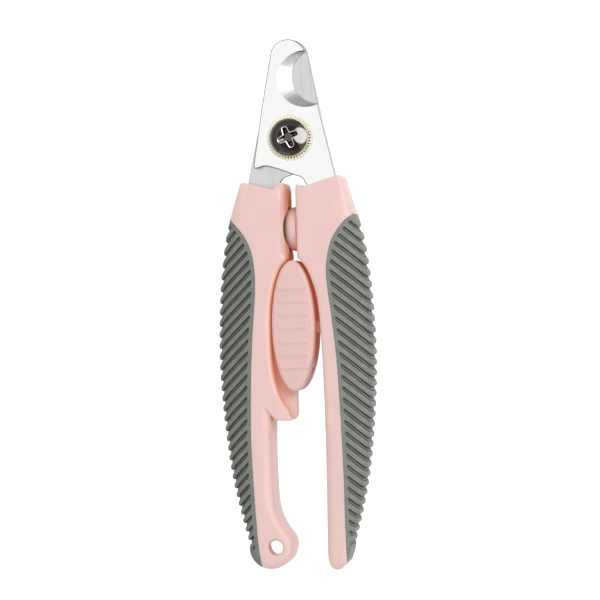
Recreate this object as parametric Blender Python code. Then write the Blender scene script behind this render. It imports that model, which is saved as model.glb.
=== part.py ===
"""Scissor nail clipper for pets, closed and locked, lying on its back.

+X is to the right, +Y runs towards the blade tips, +Z is the front face.
The origin is under the middle of the clipper, on the surface that it lies on.
Two mirrored handles each hold one blade by its tang. They turn on a pivot screw, a coil
spring between them pushes them open, and an oval thumb slider on the left handle locks them.
"""

import math

import bmesh
import bpy
from mathutils import Matrix, Vector

MM = 0.001

# ---------------------------------------------------------------- driving dimensions, in mm
THICK = 15.0            # handle thickness
MID = THICK / 2         # parting plane of the handle shells
SPLIT = 0.15            # half of the gap between two shells
GAP = 0.3               # gap between pieces that touch
FIT = GAP / 2

PIVOT = (-0.35, 46.5)   # pivot axis
OPEN_DEG = 26.0         # how far the handles open
LOCK_TRAVEL = 5.5       # how far the thumb slider moves down to unlock

BLADE_T = 2.5           # blade thickness
FRONT_BLADE_Z = (MID + SPLIT, MID + SPLIT + BLADE_T)
REAR_BLADE_Z = (MID - SPLIT - BLADE_T, MID - SPLIT)
BLADE_MIRROR_X = -0.2   # the rear blade is the front blade mirrored about this line
PIVOT_HOLE_R = 2.85
SHAFT_R = 2.5
HEAD_R, HEAD_H = 5.2, 3.5
LOCK_WASHER_R, LOCK_WASHER_T, LOCK_WASHER_TEETH = 6.45, 0.65, 43
NUT_AF, NUT_H = 8.0, 2.9

INNER_X = 1.35          # inner wall of each handle, from the middle line
GRIP_SIDE = 3.0         # grip thickness on the outer edge
GRIP_FACE = 1.8         # grip thickness on the front and back faces

SLIDER_C = (-0.35, -6.0)    # middle of the oval slider
SLIDER_A, SLIDER_B = 6.0, 18.2
RECESS_GAP = 0.5            # gap between the slider and the left handle's recess
WEB_Z = (5.0, 10.0)         # web of the left handle that the slider straddles
WEB_EDGE_X = -0.5

SPRING_Y = 21.0
SPRING_R, SPRING_WIRE, SPRING_TURNS = 2.9, 0.4, 7.5
SPRING_END_X = 6.1
POCKET_R, POCKET_X = 3.8, 6.7
CUP_BASE_R, CUP_TIP_X, CUP_POCKET_R = 6.2, -2.3, 5.1
DISH_R, DISH_X = 6.9, -3.0

HOLE_C, HOLE_R = (-6.85, -67.5), 1.95    # hanging hole
SCREW_XY = {"upper": (10.2, 20.6), "lower": (10.0, -42.0)}
TANG_PIN_XY = (13.6, -2.0)

# ---------------------------------------------------------------- colours
PINK = (0.87, 0.62, 0.56)
OVAL_PINK = (0.80, 0.56, 0.49)
GREY = (0.15, 0.155, 0.14)
STEEL = (0.80, 0.80, 0.80)
CHROME = (0.62, 0.63, 0.65)
BRASS = (0.80, 0.66, 0.34)
ZINC = (0.63, 0.64, 0.66)


# ---------------------------------------------------------------- outlines
def spline(points, step):
    """Points along a centripetal Catmull-Rom curve through the given ones, about step mm apart."""
    pts = [Vector(p) for p in points]
    pts = [2 * pts[0] - pts[1], *pts, 2 * pts[-1] - pts[-2]]
    out = []
    for a, b, c, d in zip(pts, pts[1:], pts[2:], pts[3:]):
        t0 = 0.0
        t1 = t0 + max((b - a).length, 1e-6) ** 0.5
        t2 = t1 + max((c - b).length, 1e-6) ** 0.5
        t3 = t2 + max((d - c).length, 1e-6) ** 0.5
        n = max(1, round((c - b).length / step))
        for k in range(n):
            t = t1 + (t2 - t1) * k / n
            a1 = (t1 - t) / (t1 - t0) * a + (t - t0) / (t1 - t0) * b
            a2 = (t2 - t) / (t2 - t1) * b + (t - t1) / (t2 - t1) * c
            a3 = (t3 - t) / (t3 - t2) * c + (t - t2) / (t3 - t2) * d
            b1 = (t2 - t) / (t2 - t0) * a1 + (t - t0) / (t2 - t0) * a2
            b2 = (t3 - t) / (t3 - t1) * a2 + (t - t1) / (t3 - t1) * a3
            out.append((t2 - t) / (t2 - t1) * b1 + (t - t1) / (t2 - t1) * b2)
    out.append(pts[-2])
    return [(p.x, p.y) for p in out]


def outline(*runs, step=3.0):
    """A closed outline from runs of points. Each run is a smooth curve, and runs meet in corners."""
    out = []
    for run in runs:
        out += spline(run, step)[:-1] if len(run) > 2 else [run[0]]
    return out


def arc(cx, cy, r, a0, a1, n):
    return [
        (cx + r * math.cos(math.radians(a0 + (a1 - a0) * k / n)), cy + r * math.sin(math.radians(a0 + (a1 - a0) * k / n)))
        for k in range(n + 1)
    ]


def ellipse(cx, cy, a, b, n):
    return [(cx + a * math.cos(2 * math.pi * k / n), cy + b * math.sin(2 * math.pi * k / n)) for k in range(n)]


def mirrored(points, about=0.0):
    return [(2 * about - x, y) for x, y in points][::-1]


# The outer edge of a handle, from its top corner down to its end, as distance from the middle line.
OUTER = [
    (14.3, 33.6), (16.1, 28.6), (17.6, 24.1), (18.9, 19.6), (20.6, 8.4), (21.5, -4.0), (21.75, -16.0),
    (21.2, -28.0), (20.3, -38.0), (19.0, -48.0), (17.0, -57.5), (14.6, -66.0),
]


def recess_x(y):
    """The left handle's recess wall: the outline that the oval slider sweeps, plus a gap."""
    a, b = SLIDER_A + RECESS_GAP, SLIDER_B + RECESS_GAP
    top, low = SLIDER_C[1], SLIDER_C[1] - LOCK_TRAVEL
    d = max(y - top, low - y, 0.0) / b
    return SLIDER_C[0] - a * math.sqrt(max(0.0, 1 - d * d))


def left_outline(step=3.0):
    """The left handle seen from the front, anticlockwise from its top inner corner."""
    outer = [(-x, y) for x, y in OUTER]
    ring = arc(-8.3, -67.4, 6.2, 175, 385, 14)
    arm = [ring[-1], (-3.9, -63.2), (-5.6, -60.2), (-6.8, -56.0), (-7.2, -50.0), (-7.3, -42.0), (-7.3, -33.4)]
    low = SLIDER_C[1] - LOCK_TRAVEL
    wall = [(recess_x(y), y) for y in (low - 17.6, -27.0, -24.0, -20.0, -16.0, -11.5, -6.0, -1.0, 4.0, 7.5, 10.3, 12.0)]
    return outline(
        [(-INNER_X, 31.8), (-1.9, 33.4)],
        [(-1.9, 33.4), (-2.9, 33.9)],
        [(-2.9, 33.9), (-5.0, 32.3)],
        [(-5.0, 32.3), (-13.5, 34.3)],
        [(-13.5, 34.3), (-14.4, 33.4)],
        [(-14.4, 33.4), *outer[1:], ring[0]],
        ring,
        arm,
        [(-7.3, -33.4), (-6.0, -32.0)],
        [(-6.0, -32.0), (-3.4, -32.3)],
        [(-3.4, -32.3), (-1.5, -32.3)],
        [(-1.5, -32.3), wall[0]],
        wall,
        [(recess_x(12.0), 12.0), (-INNER_X, 12.7)],
        [(-INNER_X, 12.7), (-INNER_X, 31.8)],
        step=step,
    )


def right_outline(step=3.0):
    """The right handle seen from the front, anticlockwise from its recess's top corner."""
    end = [(14.6, -66.0), (13.75, -69.6), (12.75, -72.2), (11.4, -73.6), (9.9, -74.0), (8.5, -73.3), (7.7, -71.2), (7.6, -66.0)]
    inner = [(7.6, -66.0), (7.7, -55.0), (7.8, -41.0), (7.8, -27.0), (7.65, -16.0)]
    recess = [
        (7.65, -16.0), (7.4, -10.5), (7.15, -5.0), (6.85, -1.0), (6.1, 3.5), (4.9, 7.4), (3.3, 10.7), (INNER_X, 13.0)
    ]
    return outline(
        [(INNER_X, 31.8), (1.6, 33.3)],
        [(1.6, 33.3), (3.2, 32.6)],
        [(3.2, 32.6), (4.7, 32.9)],
        [(4.7, 32.9), (13.2, 35.5)],
        [(13.2, 35.5), (14.2, 34.8)],
        [(14.2, 34.8), *OUTER[1:]],
        end,
        inner,
        recess,
        [(INNER_X, 13.0), (INNER_X, 31.8)],
        step=step,
    )[::-1]


# Where each grip ends on the front and back faces, from the handle's outer edge at the top to its end.
LEFT_GRIP = [
    (-21.0, 27.6), (-18.2, 24.8), (-16.0, 22.6), (-14.1, 20.3), (-12.7, 18.0), (-11.5, 15.0), (-10.8, 11.0),
    (-10.6, 6.0), (-11.1, -1.5), (-11.8, -9.0), (-12.6, -24.0), (-12.9, -38.0), (-12.6, -49.0), (-12.1, -60.0),
    (-11.4, -69.0), (-10.2, -76.0),
]
RIGHT_GRIP = [
    (21.5, 26.6), (18.4, 25.1), (16.0, 23.8), (13.9, 21.8), (12.2, 19.6), (10.9, 17.2), (9.9, 13.5),
    (9.4, 9.5), (9.6, 4.5), (10.4, -2.4), (11.5, -13.5), (12.2, -28.0), (12.7, -45.0), (12.8, -60.0),
    (12.9, -69.0), (12.9, -76.0),
]


def at_y(curve, y):
    """x of a curve that runs downwards, at height y."""
    for (x0, y0), (x1, y1) in zip(curve, curve[1:]):
        if y0 >= y >= y1 and y0 > y1:
            return x0 + (x1 - x0) * (y0 - y) / (y0 - y1)
    return curve[-1][0]


def grip_region(boundary, side, shift, step=3.5):
    """Everything outboard of a grip's inner boundary, which is moved outboard by shift."""
    curve = [(x + side * shift, y) for x, y in spline(boundary, step)]
    points = curve + [(side * 30, -76.0), (side * 30, boundary[0][1])]
    return points if side < 0 else points[::-1]


def core_outline(boundary, side, depth):
    """The part of a handle's shells under its grip: from inside the grip's boundary to depth under the outer edge."""
    edge = spline(OUTER, 2.0)
    heights = [22.0 - 4.4 * k for k in range(20)]
    outer = [(side * (at_y(edge, y) - depth), y) for y in heights]
    inner = [(at_y(boundary, y) - side * 2.0, y) for y in heights]
    points = outer + inner[::-1]
    return points if side < 0 else points[::-1]


def front_blade_outline():
    tip = arc(-0.4, 69.0, 5.0, 24, 158, 9)
    heel = [(-8.2, 54.4), (-10.85, 38.6), (-10.4, 38.2), (-7.7, 38.8), (-4.7, 38.1), (0.3, 36.2), (2.7, 35.2), (4.0, 33.2)]
    tang = [(4.5, 30.5), (7.2, 27.5), (7.3, 14.5), (9.3, 9.0), (9.6, -5.0), (11.0, -7.5), (15.5, -7.5), (16.2, -5.0), (14.2, 9.0), (13.4, 24.0)]
    return tip + heel + tang + [(12.7, 33.0), (11.6, 38.0), (7.7, 55.4), (4.9, 67.6)]


# ---------------------------------------------------------------- mesh helpers
def material(name, colour, roughness, metallic=0.0):
    m = bpy.data.materials.get(name) or bpy.data.materials.new(name)
    m.use_nodes = True
    shader = m.node_tree.nodes["Principled BSDF"]
    shader.inputs["Base Color"].default_value = (*colour, 1.0)
    shader.inputs["Roughness"].default_value = roughness
    shader.inputs["Metallic"].default_value = metallic
    m.diffuse_color = (*colour, 1.0)
    return m


def link(name, bm):
    """The bmesh as an object of that name, in metres, with its normals outward."""
    bmesh.ops.recalc_face_normals(bm, faces=bm.faces)
    bm.transform(Matrix.Scale(MM, 4))
    mesh = bpy.data.meshes.new(name)
    bm.to_mesh(mesh)
    bm.free()
    obj = bpy.data.objects.new(name, mesh)
    bpy.context.scene.collection.objects.link(obj)
    return obj


def inset(points, radii):
    """Each point of an anticlockwise outline moved inwards by its own radius."""
    out = []
    n = len(points)
    for i, (x, y) in enumerate(points):
        a, b, c = Vector(points[i - 1]), Vector((x, y)), Vector(points[(i + 1) % n])
        u, v = (b - a).normalized(), (c - b).normalized()
        normal = Vector((-(u.y + v.y), u.x + v.x))
        normal.normalize()
        reach = min(1.5, 1 / max(0.4, normal.dot(Vector((-u.y, u.x)))))
        out.append((x + normal.x * radii[i] * reach, y + normal.y * radii[i] * reach))
    return out


def prism(name, points, z0, z1, low=0.0, high=0.0, segments=2):
    """An extruded outline. Its lower and upper edges are rounded by low and high, each a radius or a function of (x, y)."""
    n = len(points)
    low_r = [low(x, y) if callable(low) else low for x, y in points]
    high_r = [high(x, y) if callable(high) else high for x, y in points]
    rings = []
    if max(low_r) > 0:
        for k in range(segments + 1):
            a = math.radians(90 * k / segments)
            flat = inset(points, [r * (1 - math.sin(a)) for r in low_r])
            rings.append([(x, y, z0 + r * (1 - math.cos(a))) for (x, y), r in zip(flat, low_r)])
    else:
        rings.append([(x, y, z0) for x, y in points])
    if max(high_r) > 0:
        for k in range(segments + 1):
            a = math.radians(90 * k / segments)
            flat = inset(points, [r * (1 - math.cos(a)) for r in high_r])
            rings.append([(x, y, z1 - r * (1 - math.sin(a))) for (x, y), r in zip(flat, high_r)])
    else:
        rings.append([(x, y, z1) for x, y in points])
    bm = bmesh.new()
    loops = [[bm.verts.new(p) for p in ring] for ring in rings]
    for a, b in zip(loops, loops[1:]):
        for i in range(n):
            bm.faces.new((a[i], a[(i + 1) % n], b[(i + 1) % n], b[i]))
    bm.faces.new(loops[0][::-1])
    bm.faces.new(loops[-1])
    bm.normal_update()
    bmesh.ops.triangulate(bm, faces=bm.faces)
    return link(name, bm)


def turned(name, profile, segments, axis="Z", centre=(0, 0, 0)):
    """A closed profile of (radius, height) turned about an axis. A point at radius 0 is a pole."""
    bm = bmesh.new()
    loops = []
    for r, h in profile:
        if r == 0:
            loops.append([bm.verts.new((0, 0, h))])
        else:
            loops.append(
                [bm.verts.new((r * math.cos(2 * math.pi * k / segments), r * math.sin(2 * math.pi * k / segments), h)) for k in range(segments)]
            )
    pairs = list(zip(loops, loops[1:]))
    if len(loops[0]) > 1 and len(loops[-1]) > 1:
        pairs.append((loops[-1], loops[0]))
    for a, b in pairs:
        for i in range(segments):
            j = (i + 1) % segments
            if len(a) == 1:
                bm.faces.new((a[0], b[j], b[i]))
            elif len(b) == 1:
                bm.faces.new((a[i], a[j], b[0]))
            else:
                bm.faces.new((a[i], a[j], b[j], b[i]))
    turn = {"Z": Matrix.Identity(4), "X": Matrix.Rotation(math.pi / 2, 4, "Y")}[axis]
    bm.transform(Matrix.Translation(centre) @ turn)
    obj = link(name, bm)
    return obj


def boolean(obj, other, operation):
    """Applies a Boolean and removes the other object."""
    m = obj.modifiers.new(operation, "BOOLEAN")
    m.operation = operation
    m.object = other
    m.solver = "EXACT"
    bpy.context.view_layer.update()
    graph = bpy.context.evaluated_depsgraph_get()
    mesh = bpy.data.meshes.new_from_object(obj.evaluated_get(graph))
    mesh.name = obj.name
    obj.modifiers.clear()
    obj.data = mesh
    bpy.data.objects.remove(other)
    return obj


def cut(obj, *others):
    for other in others:
        boolean(obj, other, "DIFFERENCE")
    return obj


def join(obj, *others):
    for other in others:
        boolean(obj, other, "UNION")
    return obj


def keep(obj, other):
    return boolean(obj, other, "INTERSECT")


def place(obj, mat, parent, smooth=40):
    """Gives the object its material and its parent empty, and shades it smooth up to an angle."""
    obj.data.materials.clear()
    obj.data.materials.append(mat)
    if smooth:
        obj.data.shade_smooth()
        obj.data.set_sharp_from_angle(angle=math.radians(smooth))
    obj.parent = parent
    obj.matrix_parent_inverse = parent.matrix_world.inverted()
    return obj


# ---------------------------------------------------------------- start
for old in list(bpy.data.objects):
    bpy.data.objects.remove(old)


def empty(name, x, y, z):
    e = bpy.data.objects.new(name, None)
    e.location = (x * MM, y * MM, z * MM)
    bpy.context.scene.collection.objects.link(e)
    return e


left_body = empty("left_body", 0, 0, 0)
right_body = empty("right_body", *PIVOT, MID)       # turns about +Z here
slider_body = empty("slider_body", *SLIDER_C, MID)  # slides along -Y
bpy.context.view_layer.update()

pink = material("pink_plastic", PINK, 0.42)
oval_pink = material("slider_plastic", OVAL_PINK, 0.45)
grey = material("grip_rubber", GREY, 0.7)
steel = material("polished_steel", STEEL, 0.18, 1.0)
chrome = material("chromed_screw", CHROME, 0.1, 1.0)
brass = material("brass_washer", BRASS, 0.3, 1.0)
zinc = material("zinc_steel", ZINC, 0.35, 1.0)


# ---------------------------------------------------------------- handles
def edge_radius(x, y):
    """How far a handle's front and back edges are rounded at a point of its outline."""
    side = abs(x)
    if side < 7.0 and -34.0 < y < -26.0:
        return 0.35
    if side < 7.79 and -33.5 < y < 12.9:
        return 0.7
    if y > 31 and side < 6.5:
        return 0.7
    if y > 33:
        return 0.8
    if side > 12.5 and -70 < y < 30:
        ends = min(1.0, (30 - y) / 8, (y + 70) / 14)
        return 2.0 + 2.2 * ends
    return 2.0


def tang_cutter(name, side, z0, z1):
    """The pocket for a blade's tang, a little larger than the tang, from above the handle's top to below its end."""
    left = [(3.7, 40.0), (3.7, 31.0), (4.2, 30.3), (6.9, 27.3), (7.0, 14.3), (9.0, 8.8), (9.3, -5.2), (10.8, -7.8)]
    right = [(15.7, -7.8), (16.5, -5.0), (14.5, 9.2), (13.7, 24.1), (13.0, 33.0), (11.5, 40.0)]
    points = left + right
    if side < 0:
        points = mirrored(points, BLADE_MIRROR_X)
    return prism(name, points, z0, z1)


def channel_cutter(boundary, side):
    """What the grip takes from a handle: all that is outboard of the boundary, except the core inside it."""
    region = prism("region", grip_region(boundary, side, -FIT), -2, THICK + 2)
    core = prism("core", core_outline(boundary, side, GRIP_SIDE + FIT), GRIP_FACE + FIT, THICK - GRIP_FACE - FIT)
    return cut(region, core)


def shell(name, side, front):
    """One half of a handle. The back half is the front half mirrored about the parting plane."""
    points = left_outline() if side < 0 else right_outline()
    boundary = LEFT_GRIP if side < 0 else RIGHT_GRIP
    obj = prism(name, points, 0, THICK, edge_radius, edge_radius)
    cut(obj, channel_cutter(boundary, side))
    cut(obj, prism("back_half", [(-40, -90), (40, -90), (40, 60), (-40, 60)], -5, MID + SPLIT))
    if side < 0:
        wall = [(recess_x(y) - 1.2, y) for y in (-25.5, -21.5, -16.5, -11.5, -6.0, -1.0, 4.0, 7.5)]
        web = [(-2.8, -31.6), (-1.4, -31.9), (WEB_EDGE_X, -31.2), (WEB_EDGE_X, 11.2), (-4.5, 11.0)] + wall[::-1]
        join(obj, prism("web", web, MID + SPLIT, WEB_Z[1]))
        slot = arc(-3.35, 3.0, 1.3, 0, 180, 6) + arc(-3.35, -19.0, 1.3, 180, 360, 6)
        cut(obj, prism("slot", slot, -1, THICK + 1))
    elif front:
        # The keeper that the slider's bolt holds when the clipper is locked.
        join(obj, prism("keeper", [(4.7, -8.0), (9.0, -8.0), (9.0, -5.0), (4.7, -5.0)], MID + SPLIT, MID + SPLIT + 2.0))
    if not front:
        obj.data.transform(Matrix.Translation((0, 0, THICK * MM)) @ Matrix.Diagonal((1, 1, -1, 1)))
        obj.data.flip_normals()
    # pocket of the return spring, across the parting plane
    if side < 0:
        pocket = [(0, -POCKET_X), (POCKET_R, -POCKET_X), (POCKET_R, DISH_X + 0.4), (5.4, DISH_X), (DISH_R, -1.6), (DISH_R, 0.5), (0, 0.5)]
        cut(obj, turned("pocket", pocket, 28, "X", (0, SPRING_Y, MID)))
    else:
        pocket = [(0, -0.5), (CUP_POCKET_R, -0.5), (CUP_POCKET_R, POCKET_X), (0, POCKET_X)]
        cut(obj, turned("pocket", pocket, 28, "X", (0, SPRING_Y, MID)))
    # pocket of the blade's tang
    if side > 0 and front:
        cut(obj, tang_cutter("tang_pocket", side, MID, FRONT_BLADE_Z[1] + FIT))
    if side < 0 and not front:
        cut(obj, tang_cutter("tang_pocket", side, REAR_BLADE_Z[0] - FIT, MID))
    # screw holes, with counterbores in the back shell
    for x, y in SCREW_XY.values():
        at = (side * x, y, 0)
        if front:
            cut(obj, turned("hole", [(0, 0), (1.5, 0), (1.5, 12.9), (0, 12.9)], 12, "Z", at))
        else:
            cut(obj, turned("hole", [(0, -1), (2.6, -1), (2.6, 2.9), (1.6, 2.9), (1.6, 9), (0, 9)], 12, "Z", at))
    # hole of the tang pin, blind in both shells
    x, y = TANG_PIN_XY
    cut(obj, turned("hole", [(0, 2.6), (1.8, 2.6), (1.8, 12.4), (0, 12.4)], 12, "Z", (side * x, y, 0)))
    if side < 0:
        flare = [(0, -1), (3.62, -1), (3.5, 0), (HOLE_R, 12.6), (HOLE_R, 13.2), (2.9, THICK), (3.4, THICK + 1), (0, THICK + 1)]
        cut(obj, turned("hole", flare, 20, "Z", (*HOLE_C, 0)))
    return place(obj, pink, left_body if side < 0 else right_body)


shell("left_handle_front", -1, True)
shell("left_handle_back", -1, False)
shell("right_handle_front", 1, True)
shell("right_handle_back", 1, False)


def grip(name, side):
    """The rubber grip: a channel over the outer edge of both shells."""
    points = left_outline() if side < 0 else right_outline()
    boundary = LEFT_GRIP if side < 0 else RIGHT_GRIP
    obj = prism(name, points, 0, THICK, edge_radius, edge_radius)
    keep(obj, prism("region", grip_region(boundary, side, FIT), -2, THICK + 2))
    cut(obj, prism("core", core_outline(boundary, side, GRIP_SIDE - FIT), GRIP_FACE - FIT, THICK - GRIP_FACE + FIT))
    return place(obj, grey, left_body if side < 0 else right_body)


grip("left_grip", -1)
grip("right_grip", 1)


# ---------------------------------------------------------------- blades
def blade(name, z, front, parent):
    points = front_blade_outline()
    obj = prism(name, points, 0, BLADE_T)
    # The ground notch: a slanting round bevel, with its cutting edge on the inner face.
    rings = [(-1.0, (9.3, 63.9), 7.55), (0.0, (7.9, 63.6), 7.65), (BLADE_T, (4.4, 62.8), 7.9), (BLADE_T + 1.0, (3.0, 62.5), 8.0)]
    bm = bmesh.new()
    n = 40
    loops = [
        [bm.verts.new((c[0] + r * math.cos(2 * math.pi * k / n), c[1] + r * math.sin(2 * math.pi * k / n), h)) for k in range(n)]
        for h, c, r in rings
    ]
    for a, b in zip(loops, loops[1:]):
        for i in range(n):
            bm.faces.new((a[i], a[(i + 1) % n], b[(i + 1) % n], b[i]))
    bm.faces.new(loops[0][::-1])
    bm.faces.new(loops[-1])
    cut(obj, link("notch", bm))
    if front:
        obj.data.transform(Matrix.Translation((0, 0, z[0] * MM)))
    else:
        flip = Matrix.Translation((2 * BLADE_MIRROR_X * MM, 0, z[1] * MM)) @ Matrix.Diagonal((-1, 1, -1, 1))
        obj.data.transform(flip)
    side = 1 if front else -1
    cut(obj, turned("hole", [(0, -1), (PIVOT_HOLE_R, -1), (PIVOT_HOLE_R, 16), (0, 16)], 24, "Z", (*PIVOT, 0)))
    x, y = SCREW_XY["upper"]
    cut(obj, turned("hole", [(0, -1), (1.9, -1), (1.9, 16), (0, 16)], 12, "Z", (side * x, y, 0)))
    x, y = TANG_PIN_XY
    cut(obj, turned("hole", [(0, -1), (1.9, -1), (1.9, 16), (0, 16)], 12, "Z", (side * x, y, 0)))
    return place(obj, steel, parent, 30)


blade("front_blade", FRONT_BLADE_Z, True, right_body)
blade("rear_blade", REAR_BLADE_Z, False, left_body)

# ---------------------------------------------------------------- pivot
z_washer = FRONT_BLADE_Z[1] + GAP
z_head = z_washer + LOCK_WASHER_T + GAP
z_plain = REAR_BLADE_Z[0] - GAP
z_nut = z_plain - 0.6 - GAP

head = [
    (0, z_nut - NUT_H - 0.2), (SHAFT_R - 0.3, z_nut - NUT_H - 0.2), (SHAFT_R, z_nut - NUT_H + 0.3), (SHAFT_R, z_head),
    (HEAD_R, z_head), (HEAD_R, z_head + 0.9),
]
for k in range(1, 5):
    a = math.radians(90 * k / 5)
    head.append((HEAD_R * math.cos(a), z_head + 0.9 + (HEAD_H - 0.9) * math.sin(a)))
head.append((0, z_head + HEAD_H))
screw = turned("pivot_screw", head, 24, "Z", (*PIVOT, 0))
cross = []
for k in range(4):
    a = math.radians(20 + 90 * k)
    for along, across in ((0.55, -0.55), (2.6, -0.55), (2.6, 0.55)):
        cross.append((PIVOT[0] + along * math.cos(a) - across * math.sin(a), PIVOT[1] + along * math.sin(a) + across * math.cos(a)))
cut(screw, prism("cross", cross, z_head + HEAD_H - 1.5, z_head + HEAD_H + 1.5))
place(screw, chrome, left_body, 35)

bm = bmesh.new()
loops = [[], [], [], []]
for k in range(2 * LOCK_WASHER_TEETH):
    a = 2 * math.pi * k / (2 * LOCK_WASHER_TEETH)
    tooth = LOCK_WASHER_R if k % 2 else LOCK_WASHER_R - 0.55
    for loop, (r, z) in zip(loops, ((SHAFT_R + GAP, 0), (tooth, 0), (tooth, LOCK_WASHER_T), (SHAFT_R + GAP, LOCK_WASHER_T))):
        loop.append(bm.verts.new((PIVOT[0] + r * math.cos(a), PIVOT[1] + r * math.sin(a), z_washer + z)))
for k in range(2 * LOCK_WASHER_TEETH):
    j = (k + 1) % (2 * LOCK_WASHER_TEETH)
    for a, b in zip(loops, loops[1:] + loops[:1]):
        bm.faces.new((a[k], a[j], b[j], b[k]))
washer = link("toothed_washer", bm)
place(washer, brass, left_body, 30)

ring = [(SHAFT_R + 0.3, z_plain - 0.6), (5.5, z_plain - 0.6), (5.5, z_plain), (SHAFT_R + 0.3, z_plain)]
place(turned("plain_washer", ring, 24, "Z", (*PIVOT, 0)), zinc, left_body, 30)

hexagon = [
    (PIVOT[0] + NUT_AF / math.sqrt(3) * math.cos(math.radians(60 * k)), PIVOT[1] + NUT_AF / math.sqrt(3) * math.sin(math.radians(60 * k)))
    for k in range(6)
]
nut = prism("pivot_nut", hexagon, z_nut - NUT_H, z_nut)
cut(nut, turned("hole", [(0, -2), (SHAFT_R + 0.3, -2), (SHAFT_R + 0.3, 16), (0, 16)], 20, "Z", (*PIVOT, 0)))
place(nut, zinc, left_body, 30)

# ---------------------------------------------------------------- return spring and its cup
dome = [
    (SPRING_R + 0.75, CUP_TIP_X), (4.1, CUP_TIP_X + 0.15), (5.2, CUP_TIP_X + 0.9), (5.9, CUP_TIP_X + 2.1),
    (CUP_BASE_R, INNER_X - GAP), (CUP_POCKET_R - GAP, INNER_X - GAP), (CUP_POCKET_R - GAP, POCKET_X - GAP),
    (SPRING_R + 0.75, POCKET_X - GAP),
]
place(turned("spring_cup", dome, 28, "X", (0, SPRING_Y, MID)), pink, right_body)

sides, per_turn = 6, 12
bm = bmesh.new()
count = int(SPRING_TURNS * per_turn)
loops = []
for k in range(count + 1):
    t = k / count
    a = 2 * math.pi * SPRING_TURNS * t
    x = -SPRING_END_X + SPRING_WIRE + (2 * SPRING_END_X - 2 * SPRING_WIRE) * t
    radial = Vector((0, math.cos(a), math.sin(a)))
    centre = Vector((x, SPRING_Y, MID)) + radial * SPRING_R
    loops.append(
        [bm.verts.new(centre + SPRING_WIRE * (math.cos(2 * math.pi * j / sides) * radial + math.sin(2 * math.pi * j / sides) * Vector((1, 0, 0)))) for j in range(sides)]
    )
for a, b in zip(loops, loops[1:]):
    for j in range(sides):
        bm.faces.new((a[j], a[(j + 1) % sides], b[(j + 1) % sides], b[j]))
bm.faces.new(loops[0][::-1])
bm.faces.new(loops[-1])
place(link("return_spring", bm), zinc, left_body)


# ---------------------------------------------------------------- handle fasteners
def handle_screw(name, x, y, parent):
    profile = [(0, 0.9), (2.2, 0.9), (2.2, 2.6), (1.2, 2.6), (1.2, 12.2), (0, 12.6)]
    return place(turned(name, profile, 14, "Z", (x, y, 0)), zinc, parent, 35)


for side, body, word in ((-1, left_body, "left"), (1, right_body, "right")):
    for place_name, (x, y) in SCREW_XY.items():
        handle_screw(f"{word}_screw_{place_name}", side * x, y, body)
    x, y = TANG_PIN_XY
    place(turned(f"{word}_tang_pin", [(0, 2.9), (1.5, 2.9), (1.5, 12.1), (0, 12.1)], 14, "Z", (side * x, y, 0)), zinc, body, 35)

# ---------------------------------------------------------------- lock slider
oval = ellipse(*SLIDER_C, SLIDER_A, SLIDER_B, 40)
LOCK_SCREWS = ((-3.35, 1.2), (-3.35, -11.2))


def button(name, z0, z1, front):
    obj = prism(name, oval, z0, z1, 0 if front else 0.9, 0.9 if front else 0)
    for x, y in LOCK_SCREWS:
        if front:
            cut(obj, turned("hole", [(0, 5), (1.25, 5), (1.25, 13.0), (0, 13.0)], 12, "Z", (x, y, 0)))
        else:
            cut(obj, turned("hole", [(0, -1), (1.9, -1), (1.9, 2.6), (1.25, 2.6), (1.25, 9), (0, 9)], 12, "Z", (x, y, 0)))
    return place(obj, oval_pink, slider_body)


button("lock_button_front", WEB_Z[1] + GAP, THICK - 0.1, True)
button("lock_button_back", 0.3, WEB_Z[0] - GAP, False)

right_flank = [
    (x, y)
    for x, y in ellipse(*SLIDER_C, SLIDER_A - 0.2, SLIDER_B - 0.2, 60)
    if x > 0.6 and -18.0 < y < 9.5
]
right_flank = sorted(right_flank, key=lambda p: p[1])
bolt = prism("lock_bolt", [(WEB_EDGE_X + GAP, -17.6), *right_flank, (WEB_EDGE_X + GAP, 9.2)], WEB_Z[0], WEB_Z[1])
cut(bolt, prism("groove", [(4.2, -14.5), (9, -14.5), (9, 6.0), (4.2, 3.6)], MID - 0.2, WEB_Z[1] + 1))
place(bolt, oval_pink, slider_body)

for k, (x, y) in enumerate(LOCK_SCREWS):
    profile = [(0, 0.6), (1.6, 0.6), (1.6, 2.3), (0.95, 2.3), (0.95, 12.2), (0, 12.6)]
    place(turned(f"lock_screw_{'upper' if k == 0 else 'lower'}", profile, 14, "Z", (x, y, 0)), zinc, slider_body, 35)
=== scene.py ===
"""Looks of the scissor nail clipper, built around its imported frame."""

import math

import bmesh
import bpy
import numpy as np
from mathutils import Matrix, Vector
from mathutils.geometry import delaunay_2d_cdt


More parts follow.
